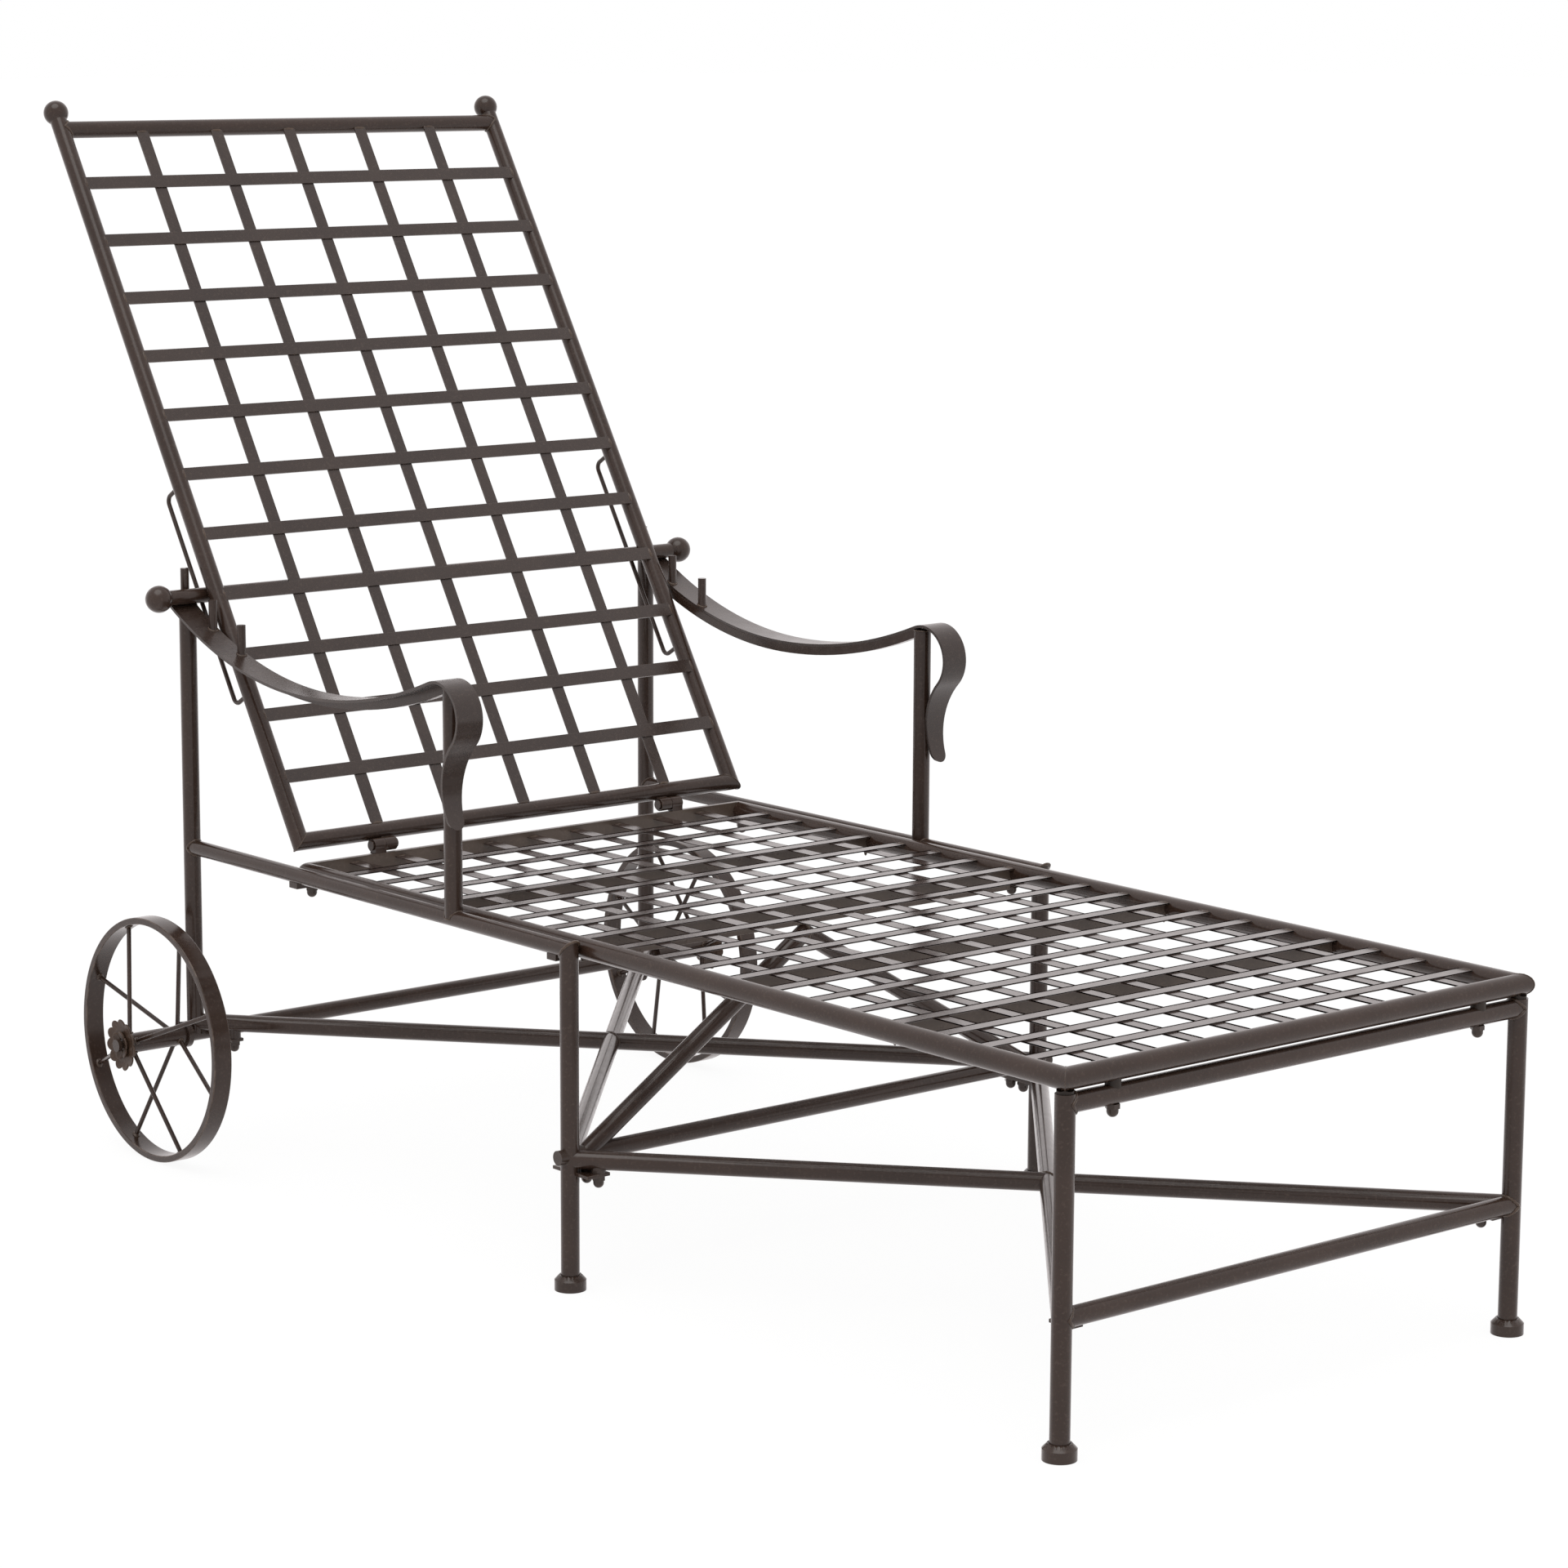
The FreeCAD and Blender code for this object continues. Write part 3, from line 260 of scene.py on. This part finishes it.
def bronze_coat(name, deep, warm, fleck, rubbed_and_highlight, roughness, ior=TUBE_IOR, ripple=0.0, glaze=GLAZE):
    """Baked and glazed paint: cloudy brown with a fine fleck, lighter along the rubbed edges, which
    is wear and a painted highlight.
    """
    material = bpy.data.materials.new(name)
    material.use_nodes = True
    tree = material.node_tree
    shader = tree.nodes["Principled BSDF"]
    shader.inputs["IOR"].default_value = ior
    shader.inputs["Coat Weight"].default_value = glaze
    shader.inputs["Coat IOR"].default_value = ior
    shader.inputs["Coat Roughness"].default_value = roughness
    place = tree.nodes.new("ShaderNodeTexCoord").outputs["Object"]
    cloud = grain(tree, place, CLOUD_SCALE, 4.0)
    speck = grain(tree, place, SPECK_SCALE, 2.0)
    scuff = grain(tree, place, SCUFF_SCALE, 5.0)
    edge = tree.nodes.new("ShaderNodeAttribute")
    edge.attribute_name = "rub"
    colour = blended(tree, graded(tree, cloud, 0.35, 0.65, 0.0, 1.0), deep, warm)
    colour = blended(tree, graded(tree, speck, 0.55, 0.75, 0.0, 0.5), colour, fleck)
    # the eased edges turn lighter: partly wear, partly a painted highlight along them
    wear_and_highlight = worked(tree, "MULTIPLY", edge.outputs["Fac"], graded(tree, scuff, 0.42, 0.62, 0.1, 0.9))
    colour = blended(tree, wear_and_highlight, colour, rubbed_and_highlight)
    tree.links.new(colour, shader.inputs["Base Color"])
    sheen = graded(tree, scuff, 0.3, 0.7, roughness - SMOOTHER, roughness + ROUGHER)
    tree.links.new(sheen, shader.inputs["Roughness"])
    if ripple:
        normal = bumped(tree, grain(tree, place, RIPPLE_SCALE, 3.0), ripple, RIPPLE_DEPTH)
        tree.links.new(normal, shader.inputs["Normal"])
    return material


FRAME_PAINT = bronze_coat("frame_paint", (0.0240, 0.0131, 0.0090), (0.0315, 0.0177, 0.0126),
                          (0.060, 0.040, 0.031), (0.095, 0.068, 0.054), 0.20)
# a lighter, greyer copy of the frame paint for the seat strips: painted light for the brighter
# light on their tops
LIT_STRIP_PAINT = bronze_coat("strip_paint", (0.0285, 0.0172, 0.0140), (0.0365, 0.0230, 0.0190),
                          (0.062, 0.043, 0.034), (0.095, 0.070, 0.058), 0.19, STRIP_IOR)
FLAT_PAINT = bronze_coat("flat_paint", (0.0215, 0.0125, 0.0095), (0.0290, 0.0175, 0.0132),
                         (0.058, 0.040, 0.031), (0.095, 0.070, 0.058), 0.25, FLAT_IOR)
ROSETTE_PAINT = bronze_coat("rosette_paint", (0.038, 0.022, 0.0145), (0.062, 0.037, 0.0245),
                            (0.090, 0.056, 0.038), (0.130, 0.085, 0.058), 0.40,
                            ripple=0.25, glaze=0.0)
FOOT_PAINT = bronze_coat("foot_paint", (0.0255, 0.0146, 0.0105), (0.0335, 0.0200, 0.0150),
                         (0.060, 0.041, 0.033), (0.075, 0.055, 0.045), 0.24)
FASTENER_PAINT = bronze_coat("fastener_paint", (0.027, 0.0165, 0.0125), (0.034, 0.0215, 0.0165),
                             (0.058, 0.040, 0.031), (0.090, 0.066, 0.052), 0.22)
WELD_PAINT = bronze_coat("weld_paint", (0.034, 0.0205, 0.0145), (0.064, 0.040, 0.026),
                         (0.095, 0.064, 0.043), (0.120, 0.082, 0.056), 0.26, ripple=0.3)
# a lighter copy of the paint for the bars under the seat: painted light for the brighter light on
# them
LIT_STOCK_PAINT = bronze_coat("stock_paint", (0.048, 0.033, 0.025), (0.066, 0.047, 0.036),
                          (0.085, 0.062, 0.049), (0.115, 0.088, 0.070), 0.30)
DARK_PLASTIC = bronze_coat("dark_plastic", (0.018, 0.013, 0.0105), (0.026, 0.0185, 0.0145),
                           (0.034, 0.026, 0.021), (0.045, 0.036, 0.030), 0.45,
                           ripple=0.1, glaze=0.0)
SLOT_FINISH = {"paint": FRAME_PAINT, "rosette_paint": ROSETTE_PAINT, "foot_paint": FOOT_PAINT,
               "fastener_paint": FASTENER_PAINT, "dark_plastic": DARK_PLASTIC}


# Where each piece rides, and which finish it has

def body_of(name):
    """The body that carries a node."""
    return frame["nodes"][name].parent.name.split(":")[1]


def slot_of(name):
    """The material slot of a node."""
    if name.startswith("rosette"):
        return "rosette_paint"
    if "_foot_" in name:
        return "foot_paint"
    if name in ("acorn_nuts", "bolts"):
        return "fastener_paint"
    return "dark_plastic" if name == "front_standoffs" else "paint"


def flat_finish(name):
    """Flat bars are glossier than the tubes; the seat strips and the bars under the seat get a
    lighter paint, which is painted light standing in for the brighter light on them.
    """
    if name in ("seat_stiffeners", "seat_rear_bar"):
        return LIT_STOCK_PAINT
    if "ribbon" in name or name in ("back_cross_strips", "back_long_strips"):
        return FLAT_PAINT
    return LIT_STRIP_PAINT if name in ("seat_cross_strips", "seat_long_strips") else None


def placed(form, name, body, slot, finish=None, crease=40):
    """Puts a finished bmesh into the scene as a piece of a body."""
    mesh = bpy.data.meshes.new(name)
    form.to_mesh(mesh)
    form.free()
    mesh.materials.append(finish or SLOT_FINISH[slot])
    mesh.polygons.foreach_set("use_smooth", [True] * len(mesh.polygons))
    mesh.set_sharp_from_angle(angle=math.radians(crease))
    piece = bpy.data.objects.new(name, mesh)
    scene.collection.objects.link(piece)
    even = piece.modifiers.new("even_shading", "WEIGHTED_NORMAL")
    even.keep_sharp = True
    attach(piece, body)
    return piece


# Eased edges, and flat stock as it is rolled and pressed

STRIP_WIDENED = {"seat": 1.6 * MM, "back": 0.8 * MM}
STRIP_THINNED = {"seat": 2.0 * MM, "back": 1.0 * MM}
STIFFENER_RAISED = 7.3 * MM
STIFFENER_TO_STRIP = 5.0 * MM
BRACE_REACH = 20 * MM
RIM_WALL = 5.0 * MM
RIM_THICKNESS = 7.5 * MM
FOOT_PRESSED = (1.04, 1.04, 0.82)
JOINED_WITHIN = 0.001 * MM
FLAT_WITHIN = math.radians(0.8)
EDGE_FROM = math.radians(32)
EDGE_SEGMENTS = 2
SHORTEST_EDGE = 1.5
# radius of the eased edges in millimetres
EASE = {
    "seat_cross_strips": 0.15, "seat_long_strips": 0.15,
    "back_cross_strips": 0.6, "back_long_strips": 0.6,
    "seat_stiffeners": 0.5, "seat_rear_bar": 0.7, "bolt_tabs": 0.5, "arm_pegs": 0.7,
    "acorn_nuts": 0.5, "hinge_pins": 0.4, "seat_hinge_knuckles": 0.5, "back_hinge_knuckles": 0.5,
}
for side in SIDES:
    EASE.update({f"arm_ribbon_{side}": 0.7, f"arm_bar_{side}": 0.6, f"wheel_rim_{side}": 1.2,
                 f"front_foot_{side}": 1.9, f"mid_foot_{side}": 1.9})


def joined_copy(name):
    """A node's triangles joined into one skin with whole faces."""
    form = bmesh.new()
    form.from_mesh(frame["nodes"][name].data)
    bmesh.ops.remove_doubles(form, verts=form.verts, dist=JOINED_WITHIN)
    bmesh.ops.dissolve_limit(form, angle_limit=FLAT_WITHIN, verts=form.verts, edges=form.edges,
                             use_dissolve_boundaries=False)
    return form


def corners_of(verts):
    """Lowest and highest corner of a set of vertices."""
    spots = [vert.co for vert in verts]
    return (Vector([min(spot[axis] for spot in spots) for axis in range(3)]),
            Vector([max(spot[axis] for spot in spots) for axis in range(3)]))


def middle_of(verts):
    """The mean place of a set of vertices."""
    return sum((vert.co for vert in verts), Vector()) / len(verts)


def bars_in(form):
    """The vertices of each separate bar of a form."""
    left = dict.fromkeys(form.verts)
    bars = []
    while left:
        reached = [left.popitem()[0]]
        for vert in reached:
            for edge in vert.link_edges:
                other = edge.other_vert(vert)
                if other in left:
                    del left[other]
                    reached.append(other)
        bars.append(reached)
    return bars


def back_lean():
    """Turns the leaning back flat about its hinge line."""
    form = joined_copy("back_rail_left")
    run = max(form.edges, key=lambda edge: edge.calc_length())
    along = run.verts[1].co - run.verts[0].co
    form.free()
    if along.z < 0:
        along = -along
    recline = next(joint for joint in frame["joints"] if joint["name"] == "back_recline")
    hinge = Vector(recline["pos_m"])
    lean = math.atan2(along.z, along.y)
    return Matrix.Translation(hinge) @ Matrix.Rotation(-lean, 4, "X") @ Matrix.Translation(-hinge)


def rolled(form, name):
    """Strips made wider and thinner by rolling; long strips follow the cross strips up."""
    panel = name.split("_")[0]
    flat = back_lean() if panel == "back" else Matrix.Identity(4)
    across = 0 if "long" in name else 1
    wider, thinner = STRIP_WIDENED[panel], STRIP_THINNED[panel]
    lift = thinner if "long" in name else 0.0
    bmesh.ops.transform(form, matrix=flat, verts=form.verts)
    for bar in bars_in(form):
        middle = middle_of(bar)
        for vert in bar:
            vert.co[across] += wider if vert.co[across] > middle[across] else -wider
            vert.co.z += lift + (0.0 if vert.co.z > middle.z else thinner)
    bmesh.ops.transform(form, matrix=flat.inverted(), verts=form.verts)


def braced_line():
    """Where along the seat the inverted V meets a stiffener."""
    spots = [vert.co for vert in frame["nodes"]["mid_brace_left"].data.vertices]
    top = max(spot.z for spot in spots)
    tips = [spot.y for spot in spots if spot.z > top - MM]
    return sum(tips) / len(tips)


def notched(form):
    """Stiffeners let in up to the cross strips; the braced one keeps its depth."""
    low, high = corners_of(form.verts)
    middle = (low.z + high.z) / 2
    braced = braced_line()
    above = [vert for vert in form.verts if vert.co.z >= middle]
    under = [vert for vert in form.verts
             if vert.co.z < middle and abs(vert.co.y - braced) > BRACE_REACH]
    bmesh.ops.translate(form, verts=under, vec=(0, 0, STIFFENER_RAISED))
    bmesh.ops.translate(form, verts=above, vec=(0, 0, STIFFENER_TO_STRIP))


def squat(form):
    """A foot cup pressed lower and a little wider."""
    middle = middle_of(form.verts)
    bmesh.ops.scale(form, verts=form.verts, vec=FOOT_PRESSED,
                    space=Matrix.Translation((-middle.x, -middle.y, 0)))


def thickened_rim(form):
    """The rim's inner wall drawn in, as a rolled rim has it."""
    low, high = corners_of(form.verts)
    centre = (low + high) / 2
    radius = (high.z - low.z) / 2
    inner = [vert for vert in form.verts
             if math.hypot(vert.co.y - centre.y, vert.co.z - centre.z) < radius - RIM_WALL / 2]
    share = (radius - RIM_THICKNESS) / (radius - RIM_WALL)
    bmesh.ops.scale(form, verts=inner, vec=(1, share, share), space=Matrix.Translation(-centre))


def eased_piece(name, ease):
    """A node with its sharp edges rounded by a small radius, and those edges marked for the lighter
    edge colour of wear and painted highlight.
    """
    form = joined_copy(name)
    if name.endswith("_strips"):
        rolled(form, name)
    elif name == "seat_stiffeners":
        notched(form)
    elif name.startswith("wheel_rim"):
        thickened_rim(form)
    elif "_foot_" in name:
        squat(form)
    # the eased edges get the lighter edge colour, partly wear and partly a painted highlight
    rub = form.faces.layers.float.new("rub")
    sharp = [edge for edge in form.edges
             if edge.calc_face_angle(0.0) > EDGE_FROM
             and edge.calc_length() > SHORTEST_EDGE * ease]
    made = bmesh.ops.bevel(form, geom=sharp, offset=ease, offset_type="OFFSET",
                           segments=EDGE_SEGMENTS, profile=0.5, affect="EDGES", material=-1,
                           clamp_overlap=True)
    for face in made["faces"]:
        face[rub] = 1.0
    piece = placed(form, f"{name}_eased", body_of(name), slot_of(name), flat_finish(name))
    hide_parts(name)


# Welds

SEAM_FROM = math.radians(35)
SHORTEST_SEAM = 8
WALL_REACH = 8 * MM
WELD_CREASE = 80
BEAD_WAIST, BEAD_SWELL = 0.88, 1.12
BEAD_UNEVEN = (0.9, 1.15)
SPOT_RINGS = (10, 6)
SMALL_SPOT_RINGS = (6, 4)
LARGE_SPOT_RINGS = (12, 8)
LUMP_SCALE = 330.0
LUMP_SHARE = 0.22
END_WELD = 2.2 * MM
END_WELD_SPREAD = 0.6 * MM
END_WELD_HEIGHT = 1.6 * MM
END_WELD_BELOW = 0.8 * MM
CROSSING_WELD = 1.1 * MM
STIFFENER_WELD = Vector((1.8, 3.0, 7.0)) * MM
STIFFENER_WELD_UP = 9 * MM
KNUCKLE_WELD = 1.8 * MM
KNUCKLE_WELD_IN = 4 * MM
PEG_APART = 20 * MM
SPOKES = 8
SPOKE_INSET = 6.5 * MM
HUB_RADIUS = 11 * MM
HUB_WELD = Vector((4.2, 4.2, 2.2)) * MM
RIM_WELD = Vector((5.2, 4.6, 2.4)) * MM
# lines past which the ends of a tube are welded, in metres
REAR_END = 0.5
ARM_LEVEL = 0.4
FOOT_LEVEL = 0.1
FRONT_CORNER = 0.26
BRACE_CROSSING = 0.1


def everywhere(middle):
    """Keeps every seam."""
    return True


def seams(name, keep):
    """Outlines of a coped tube's ends along its outer wall, as closed rows of points."""
    form = joined_copy(name)
    open_edges = dict.fromkeys(edge for edge in form.edges if edge.calc_face_angle(0.0) > SEAM_FROM)
    rows = []
    while open_edges:
        first, last = open_edges.popitem()[0].verts
        row = [first, last]
        while last is not first:
            heading = (last.co - row[-2].co).normalized()
            ahead = max(
                (edge for edge in last.link_edges if edge in open_edges), default=None,
                key=lambda edge: heading.dot((edge.other_vert(last).co - last.co).normalized()))
            if ahead is None:
                break
            del open_edges[ahead]
            last = ahead.other_vert(last)
            row.append(last)
        if last is first and len(row) > SHORTEST_SEAM:
            rows.append([vert.co.copy() for vert in row[:-1]])
    form.free()
    middles = [sum(row, Vector()) / len(row) for row in rows]
    girths = [sum((a - b).length for a, b in zip(row, row[1:] + row[:1])) for row in rows]
    outer = []
    for row, middle, girth in zip(rows, middles, girths):
        inside = any(girth < other and (middle - there).length < WALL_REACH
                     for other, there in zip(girths, middles))
        if not inside and keep(middle):
            outer.append(row)
    return outer


def weld_runs(name, body, runs, seed):
    """A rippled bead along each row of points."""
    draw = random.Random(seed)
    line = bpy.data.curves.new(name, "CURVE")
    line.dimensions = "3D"
    line.bevel_depth = 1.0
    line.bevel_resolution = 2
    for row, size in runs:
        spline = line.splines.new("POLY")
        spline.points.add(len(row) - 1)
        spline.use_cyclic_u = True
        for number, (point, spot) in enumerate(zip(spline.points, row)):
            point.co = (*spot, 1.0)
            ripple = BEAD_SWELL if number % 2 else BEAD_WAIST
            point.radius = size * ripple * draw.uniform(*BEAD_UNEVEN)
    shaper = bpy.data.objects.new(name, line)
    scene.collection.objects.link(shaper)
    bpy.context.view_layer.update()
    swept = shaper.evaluated_get(bpy.context.evaluated_depsgraph_get())
    mesh = bpy.data.meshes.new_from_object(swept)
    bpy.data.objects.remove(shaper)
    bpy.data.curves.remove(line)
    form = bmesh.new()
    form.from_mesh(mesh)
    bpy.data.meshes.remove(mesh)
    bmesh.ops.recalc_face_normals(form, faces=form.faces)
    placed(form, name, body, "paint", WELD_PAINT, WELD_CREASE)


def spot_weld(form, centre, reach, turn=None, rings=SPOT_RINGS):
    """A lumpy spot of weld, longer one way, on a joint."""
    around, along = rings
    made = bmesh.ops.create_uvsphere(form, u_segments=around, v_segments=along, radius=1.0)["verts"]
    bmesh.ops.scale(form, verts=made, vec=reach)
    for vert in made:
        lump = noise.noise((vert.co + centre) * LUMP_SCALE)
        vert.co *= 1.0 + LUMP_SHARE * lump
    if turn is not None:
        bmesh.ops.rotate(form, verts=made, cent=(0, 0, 0), matrix=turn)
    bmesh.ops.translate(form, verts=made, vec=centre)


def bars_of(name, turn=None):
    """Lowest and highest corner of each bar of a node, in a turned frame if one is given."""
    form = joined_copy(name)
    if turn is not None:
        bmesh.ops.transform(form, matrix=turn, verts=form.verts)
    boxes = [corners_of(bar) for bar in bars_in(form)]
    form.free()
    return sorted(boxes, key=lambda corners: tuple(corners[0]))


def lattice_welds(form, cross, long, lift, turn=None):
    """Welds at the ends of the strips and at each crossing, on the under side."""
    rows = bars_of(cross, turn)
    for low, high in rows:
        half = Vector((END_WELD, (high.y - low.y) / 2 + END_WELD_SPREAD, END_WELD_HEIGHT))
        for x in (low.x, high.x):
            spot_weld(form, Vector((x, (low.y + high.y) / 2, high.z - END_WELD_BELOW)), half)
    for low, high in bars_of(long, turn):
        half = Vector(((high.x - low.x) / 2 + END_WELD_SPREAD, END_WELD, END_WELD_HEIGHT))
        middle = (low.x + high.x) / 2
        for y in (low.y, high.y):
            spot_weld(form, Vector((middle, y, high.z + lift - END_WELD_BELOW)), half)
        reach = Vector(((high.x - low.x) / 2 - END_WELD_BELOW, CROSSING_WELD, CROSSING_WELD))
        for row_low, _ in rows:
            spot_weld(form, Vector((middle, row_low.y, high.z + lift)), reach,
                      rings=SMALL_SPOT_RINGS)


def seat_welds():
    """Welds of the seat's lattice, its stiffeners and its hinge knuckles."""
    form = bmesh.new()
    lattice_welds(form, "seat_cross_strips", "seat_long_strips", STRIP_THINNED["seat"])
    for low, high in bars_of("seat_stiffeners"):
        for x in (low.x, high.x):
            spot = Vector((x, (low.y + high.y) / 2, low.z + STIFFENER_WELD_UP))
            spot_weld(form, spot, STIFFENER_WELD)
    for low, high in bars_of("seat_hinge_knuckles"):
        reach = Vector(((high.x - low.x) / 2, KNUCKLE_WELD, END_WELD_HEIGHT))
        for y in (low.y + KNUCKLE_WELD_IN, high.y - KNUCKLE_WELD_IN):
            spot_weld(form, Vector(((low.x + high.x) / 2, y, low.z)), reach)
    placed(form, "seat_welds", "base", "paint", WELD_PAINT, WELD_CREASE)


def back_welds():
    """Welds of the back's lattice, laid flat and leaned back."""
    flat = back_lean()
    form = bmesh.new()
    lattice_welds(form, "back_cross_strips", "back_long_strips", STRIP_THINNED["back"], flat)
    bmesh.ops.transform(form, matrix=flat.inverted(), verts=form.verts)
    placed(form, "back_welds", "backrest", "paint", WELD_PAINT, WELD_CREASE)


def peg_feet():
    """The lower outline of each peg, where it stands on the ribbon."""
    rows = sorted(seams("arm_pegs", everywhere), key=lambda row: row[0].z)
    feet = []
    for row in rows:
        if all((row[0].xy - foot[0].xy).length > PEG_APART for foot in feet):
            feet.append(row)
    return feet


def frame_welds():
    """Rippled beads round the coped ends of the welded tubes."""
    runs = {"base": [], "backrest": []}

    def bead(body, name, size, keep=everywhere):
        runs[body] += [(row, size * MM) for row in seams(name, keep)]

    for side in SIDES:
        bead("base", f"arm_post_{side}", 0.9)
        bead("base", f"mid_brace_{side}", 1.3)
        bead("base", f"side_rail_{side}", 1.6, lambda spot: spot.y > REAR_END)
        bead("base", f"rear_post_{side}", 1.5, lambda spot: spot.z > ARM_LEVEL)
        bead("base", f"mid_leg_{side}", 1.5, lambda spot: spot.z > FOOT_LEVEL)
        bead("backrest", f"rod_guide_{side}", 1.1)
    for name in ("front_upper_rail", "front_lower_rail"):
        bead("base", name, 1.7, lambda spot: abs(spot.x) > FRONT_CORNER)
    for name in ("front_brace_halves", "rear_brace_halves"):
        bead("base", name, 1.3, lambda spot: abs(spot.x) < BRACE_CROSSING)
    bead("base", "seat_front_rail", 0.6)
    bead("backrest", "back_top_rail", 1.5)
    bead("backrest", "back_bottom_rail", 0.6)
    runs["base"] += [(row, 1.3 * MM) for row in peg_feet()]
    weld_runs("frame_weld_runs", "base", runs["base"], 11)
    weld_runs("back_weld_runs", "backrest", runs["backrest"], 12)


def wheel_welds(side):
    """Spots where the spokes meet the rim and the hub."""
    low, high = (Vector(corner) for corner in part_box(f"wheel_rim_{side}"))
    hub_low, hub_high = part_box(f"wheel_spider_{side}")
    centre = (low + high) / 2
    rim_radius = (high.z - low.z) / 2
    roots = (hub_high[0] - SPOKE_INSET, hub_low[0] + SPOKE_INSET)
    if side == "right":
        roots = roots[::-1]
    form = bmesh.new()
    for number in range(SPOKES):
        angle = (number + 0.5) * 2 * math.pi / SPOKES
        outward = Vector((0, -math.cos(angle), math.sin(angle)))
        root = Vector((roots[number % 2], centre.y, centre.z))
        spoke = centre + outward * rim_radius - root
        at_hub = root + spoke * (HUB_RADIUS / rim_radius)
        at_rim = root + spoke * (1 - RIM_THICKNESS / rim_radius)
        lie = outward.to_track_quat("Z", "X").to_matrix()
        spot_weld(form, at_hub, HUB_WELD, lie, LARGE_SPOT_RINGS)
        spot_weld(form, at_rim, RIM_WELD, lie, LARGE_SPOT_RINGS)
    placed(form, f"wheel_welds_{side}", f"wheel_{side}", "paint", WELD_PAINT, WELD_CREASE)


# Rosettes on the axle ends

PLATE_REACH = 0.74
PLATE_DEPTH = 0.4
PETAL_CUP = 0.9
ROSETTE_CREASE = 70
# each ring: petals, first angle, then as shares of the rosette's reach or depth how far out they
# lie, half their length and width, their level and half their thickness, and their lean in degrees
PETAL_RINGS = (
    (11, 0.0, 0.70, 0.29, 0.26, 0.36, 0.34, 14),
    (6, 0.2, 0.36, 0.20, 0.22, 0.66, 0.36, 24),
)


def petal(form, centre, half, outward, tilt):
    """A cupped petal: a flattened ball with a hollow in its outer face, tip leaning out."""
    made = bmesh.ops.create_uvsphere(form, u_segments=16, v_segments=10, radius=1.0)["verts"]
    for vert in made:
        if vert.co.x > 0:
            inward = 1 - min(1.0, math.hypot(vert.co.y, vert.co.z))
            vert.co.x -= PETAL_CUP * math.sin(inward * math.pi / 2)
    bmesh.ops.scale(form, verts=made, vec=half)
    for angle, axis in ((tilt, "Y"), (outward, "X")):
        bmesh.ops.rotate(form, verts=made, cent=(0, 0, 0), matrix=Matrix.Rotation(angle, 3, axis))
    bmesh.ops.translate(form, verts=made, vec=centre)


def rosette(side):
    """Cast flower of two rings of cupped petals on a round plate."""
    name = f"rosette_{side}"
    low, high = (Vector(corner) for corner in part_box(name))
    middle = (low + high) / 2
    reach = (high.z - low.z) / 2
    depth = high.x - low.x
    form = bmesh.new()
    plate = bmesh.ops.create_circle(form, cap_ends=True, segments=48, radius=reach * PLATE_REACH)
    bmesh.ops.rotate(form, verts=plate["verts"], cent=(0, 0, 0),
                     matrix=Matrix.Rotation(math.pi / 2, 3, "Y"))
    raised = bmesh.ops.extrude_face_region(form, geom=form.faces[:])["geom"]
    face_verts = [part for part in raised if isinstance(part, bmesh.types.BMVert)]
    bmesh.ops.translate(form, verts=face_verts, vec=(depth * PLATE_DEPTH, 0, 0))
    bmesh.ops.recalc_face_normals(form, faces=form.faces)
    for count, start, far, long, wide, level, thick, tilt in PETAL_RINGS:
        half = Vector((depth * thick, reach * wide, reach * long))
        for number in range(count):
            angle = number * 2 * math.pi / count + start
            spot = Vector((depth * level, 0, reach * far))
            spot.rotate(Matrix.Rotation(angle, 3, "X"))
            petal(form, spot, half, angle, math.radians(tilt))
    if side == "right":
        bmesh.ops.scale(form, verts=form.verts, vec=(-1, 1, 1))
        bmesh.ops.reverse_faces(form, faces=form.faces)
    inner_x = low.x if side == "left" else high.x
    bmesh.ops.translate(form, verts=form.verts, vec=(inner_x, middle.y, middle.z))
    piece = placed(form, f"{name}_cast", body_of(name), slot_of(name), crease=ROSETTE_CREASE)
    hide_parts(name)


photo_camera()
white_studio()
pale_floor()
for name, part in frame["nodes"].items():
    part.data.materials.clear()
    part.data.materials.append(SLOT_FINISH[slot_of(name)])
for name, ease in EASE.items():
    eased_piece(name, ease * MM)
frame_welds()
seat_welds()
back_welds()
for side in SIDES:
    wheel_welds(side)
    rosette(side)

scene.view_settings.view_transform = "Standard"
